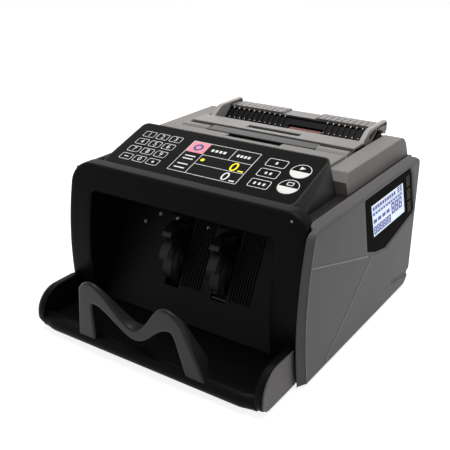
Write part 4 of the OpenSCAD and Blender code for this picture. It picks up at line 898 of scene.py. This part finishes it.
# spark-eroded ABS, matt: lighter and warmer than the side covers, which is painted light from above on the
# top
top_abs_painted_light = moulded("grey_abs_spark_eroded_painted_top_light", "#807d7a", 0.44, 0.9, 0.05, specular=0.08)
even(keep("top_housing_moulding", housing_bm, top_abs_painted_light, ("top_housing",), sharp=35))
# the deck's near-black is painted shade of the groove between the rails and the cover ledges
even(keep("top_housing_deck_shade", shaded_deck_bm, console_abs, sharp=50))

# Feed cover: a pale half-round bar moulded in ABS. It swings open over the feed rollers on two end pins, and
# a flat dark grip is glued into its middle.
# Satin ABS: the pale grey of the hopper, with a soft sheen along the bar.
pale_abs = moulded("pale_grey_abs_satin", "#858280", 0.4, 0.9, 0.03, specular=0.2)
soften("feed_cover", 0.5, pale_abs, "cover")
soften("feed_cover_grip", 0.8, dark_abs, "cover")

# Hopper: ABS mouldings screwed to the frame. A pale front plate with a finger slot, a black ribbed bed that
# slopes down to the red-brown pick-up roller, a rear land with fine slits, and two guides that slide in to
# fit the paper.
soften("hopper_front_plate", 0.6, pale_abs)
soften("hopper_rear_land", 0.4, pale_abs)
flange_bm = bmesh.new()
for side in (-1, 1):
    slab(flange_bm, side * 76.6, side * 82.9, 252.2, 268.2, 142.5, 150.2, 0.6)
even(keep("land_side_flanges", flange_bm, pale_abs))
repaint(pocket_abs, "hopper_bed")
# pale patches on the rib ends: painted glints, where the black ribs' rounded ends catch the light
rib_glint_paint = moulded("pale_abs_painted_rib_glint", "#b9b5b2", 0.2, 0.6, 0.01, specular=0.5)
BED_LEAN, BED_LEN = math.radians(38.54), 38.36
bed_place = Matrix.Translation(at(0, 222.088, 124)) @ Matrix.Rotation(BED_LEAN, 4, "X")
RIB_X, RIB_PITCH = 74.2, 6.0
for rib_side, rib_x, rib_count in (("left", -RIB_X, 11), ("right", RIB_X, 8)):
    tip_unit = bmesh.new()
    for tip_at, tip_len in ((BED_LEN - 2.5, 2.0), (BED_LEN - 13.9, 1.2)):
        inlay(tip_unit, Matrix.Identity(4), rounded(-0.55, tip_at, 0.55, tip_at + tip_len, 0.5, 3), 1.1, 1.45)
    tips_bm = repeated(f"{rib_side}_rib_tips", tip_unit, rib_count, (rib_x / 1000, 0, 0),
                       (math.copysign(RIB_PITCH / 1000, -rib_x), 0, 0), rib_glint_paint)
    bmesh.ops.transform(tips_bm, matrix=bed_place, verts=tips_bm.verts)
    keep(f"{rib_side}_hopper_rib_tips", tips_bm, rib_glint_paint)
# worn ABS: the palest grey on the machine, rubbed smooth. The dark oval on each guide is painted hollow
# shade.
guide_abs = moulded("pale_abs_worn_smooth", "#a19e9b", 0.35, 1.2, 0.02, specular=0.25)
hollow_shade_paint = moulded("grey_abs_painted_hollow_shade", "#3a3837", 0.5, 0.9, 0.03, specular=0.1)
GUIDE_IN, GUIDE_OUT = 78.0, 83.0
guide_edge = [(217.3, 128.9), (225.1, 128.9), (249.1, 148.0), (249.1, 150.8), (272.4, 150.8)]
guide_edge += [(269.4 + 3 * math.cos(a), 150.9 + 3.1 * math.sin(a))
               for a in (0.3, 0.6, 0.9, 1.2, math.pi / 2)]
guide_edge += [(240, 154), (235.5, 153.9), (231.3, 152.9), (219.5, 145.9), (217.3, 143.6)]
for side, guide in ((-1, "left"), (1, "right")):
    guide_bm = bmesh.new()
    plate(guide_bm, guide_edge, side * GUIDE_IN, side * GUIDE_OUT, 1.4)
    slab(guide_bm, side * GUIDE_IN, side * GUIDE_OUT, 270.4, 272.38, 143.5, 151.6, 0.6)
    even(keep(f"{guide}_hopper_guide_moulding", guide_bm, guide_abs,
              (f"{guide}_hopper_guide",), f"{guide}_guide", sharp=50))
    # a dark oval a little proud of the flat face: painted shade standing for the guide's finger hollow
    oval_bm = bmesh.new()
    oval_place = flank(side, GUIDE_OUT, 238.5, 148.2) @ Matrix.Rotation(0.3, 4, "Z")
    inlay(oval_bm, oval_place, rounded(-7.5, -2.0, 7.5, 2.0, 1.9, 8), -0.6, 0.12)
    keep(f"{guide}_guide_hollow_shade", oval_bm, hollow_shade_paint, body=f"{guide}_guide")

# Rear cover: dark grey ABS with vents, held by four screws. It carries the mains inlet, the rocker switch, a
# data socket and the fluted knob that sets the feed gap. The base pan under it is the same moulding material.
# Grained ABS: dark grey, even and matt.
rear_abs = moulded("dark_grey_abs_grained", "#3c3a39", 0.5, 0.9, 0.05)
soften("rear_cover", 0.5, rear_abs)
soften("base_pan", 0.5, rear_abs)
# nylon is black with a low sheen, and the rocker is glossy, as hard contact plastics are
nylon = moulded("black_nylon_moulded", "#101010", 0.4, 0.6, 0.02)
repaint(nylon, "power_inlet", "switch_frame", "data_port")
gloss_nylon = moulded("black_nylon_glossy", "#141414", 0.18, 0.8, 0.005)
soften("power_rocker", 0.4, gloss_nylon, "rocker")
soften("gap_knob", 0.4, black_abs, "knob")


def metal(name, colour, rough, streak_mm, metallic=1.0):
    """Metal with the streaks of rolling or grinding, drawn wider than the real ones so that they show."""
    made, tree, shader, place = blank(name)
    drawn = add_node(tree, "ShaderNodeMapping", {"Vector": place, "Scale": (0.06, 1, 1)})
    streak = add_node(tree, "ShaderNodeTexNoise", {"Vector": drawn.outputs[0], "Scale": 1000 / streak_mm,
                                                   "Detail": 3.0})
    ramp = add_node(tree, "ShaderNodeValToRGB", {"Fac": streak.outputs["Fac"]})
    base = hex_colour(colour)
    ramp.color_ramp.elements[0].color = tuple(c * 0.86 for c in base[:3]) + (1,)
    ramp.color_ramp.elements[1].color = base
    tree.links.new(ramp.outputs["Color"], shader.inputs["Base Color"])
    gloss = add_node(tree, "ShaderNodeMapRange", {"Value": streak.outputs["Fac"], "To Min": rough * 0.8,
                                                  "To Max": rough * 1.2})
    tree.links.new(gloss.outputs["Result"], shader.inputs["Roughness"])
    shader.inputs["Metallic"].default_value = metallic
    return made


# ground steel: bright, with fine streaks round a sharp highlight
shaft_steel = metal("ground_steel", "#c2c4c6", 0.25, 0.4)
soften("rear_screws", 0.5, shaft_steel)

# Steel frame, drive and boards inside: zinc-plated plates bolted together, ground shafts in bronze bushes,
# rollers with rubbery tyres, belts, the motor, the power supply and the boards.
# Zinc is pale and streaked, and sintered bronze is brown and dull.
repaint(metal("zinc_plated_sheet", "#aeb0b2", 0.38, 1.5), "left_frame_plate", "right_frame_plate", "tie_rods")
repaint(shaft_steel, "pickup_shaft", "feed_shaft", "transport_shaft", "idler_shaft", "stacker_shaft",
        "motor_pulley")
repaint(metal("sintered_bronze", "#99753f", 0.45, 0.8), "bearings")
# polyurethane: red-brown, matt and slightly rough, so that it grips
rubber = moulded("red_brown_polyurethane_cast", "#7a5450", 0.62, 1.4, 0.06, specular=0.3, mottle=0.1)
repaint(rubber, "feed_rollers", "transport_rollers")
soften("pickup_roller", 0.6, rubber, "pickup")
# moulded rubber: black without shine
black_rubber = moulded("black_rubber_moulded", "#1b1b1b", 0.7, 1.0, 0.05, specular=0.25)
repaint(black_rubber, "retard_roller", "feed_belt", "pickup_belt", "transport_belt", "stacker_belt")
soften("rubber_feet", 0.8, black_rubber)
# lacquered glass-fibre board: green, glossy and cloudy. The motor is painted, the supply's case bare metal
board = moulded("green_lacquered_board", "#23503a", 0.3, 2.5, 0.02, specular=0.5, mottle=0.2)
repaint(board, "console_board", "side_key_board", "main_board")
repaint(metal("painted_motor_steel", "#56575a", 0.45, 2.0, 0.4), "main_motor")
repaint(metal("bare_aluminium_case", "#a2a3a5", 0.4, 1.2), "power_supply")
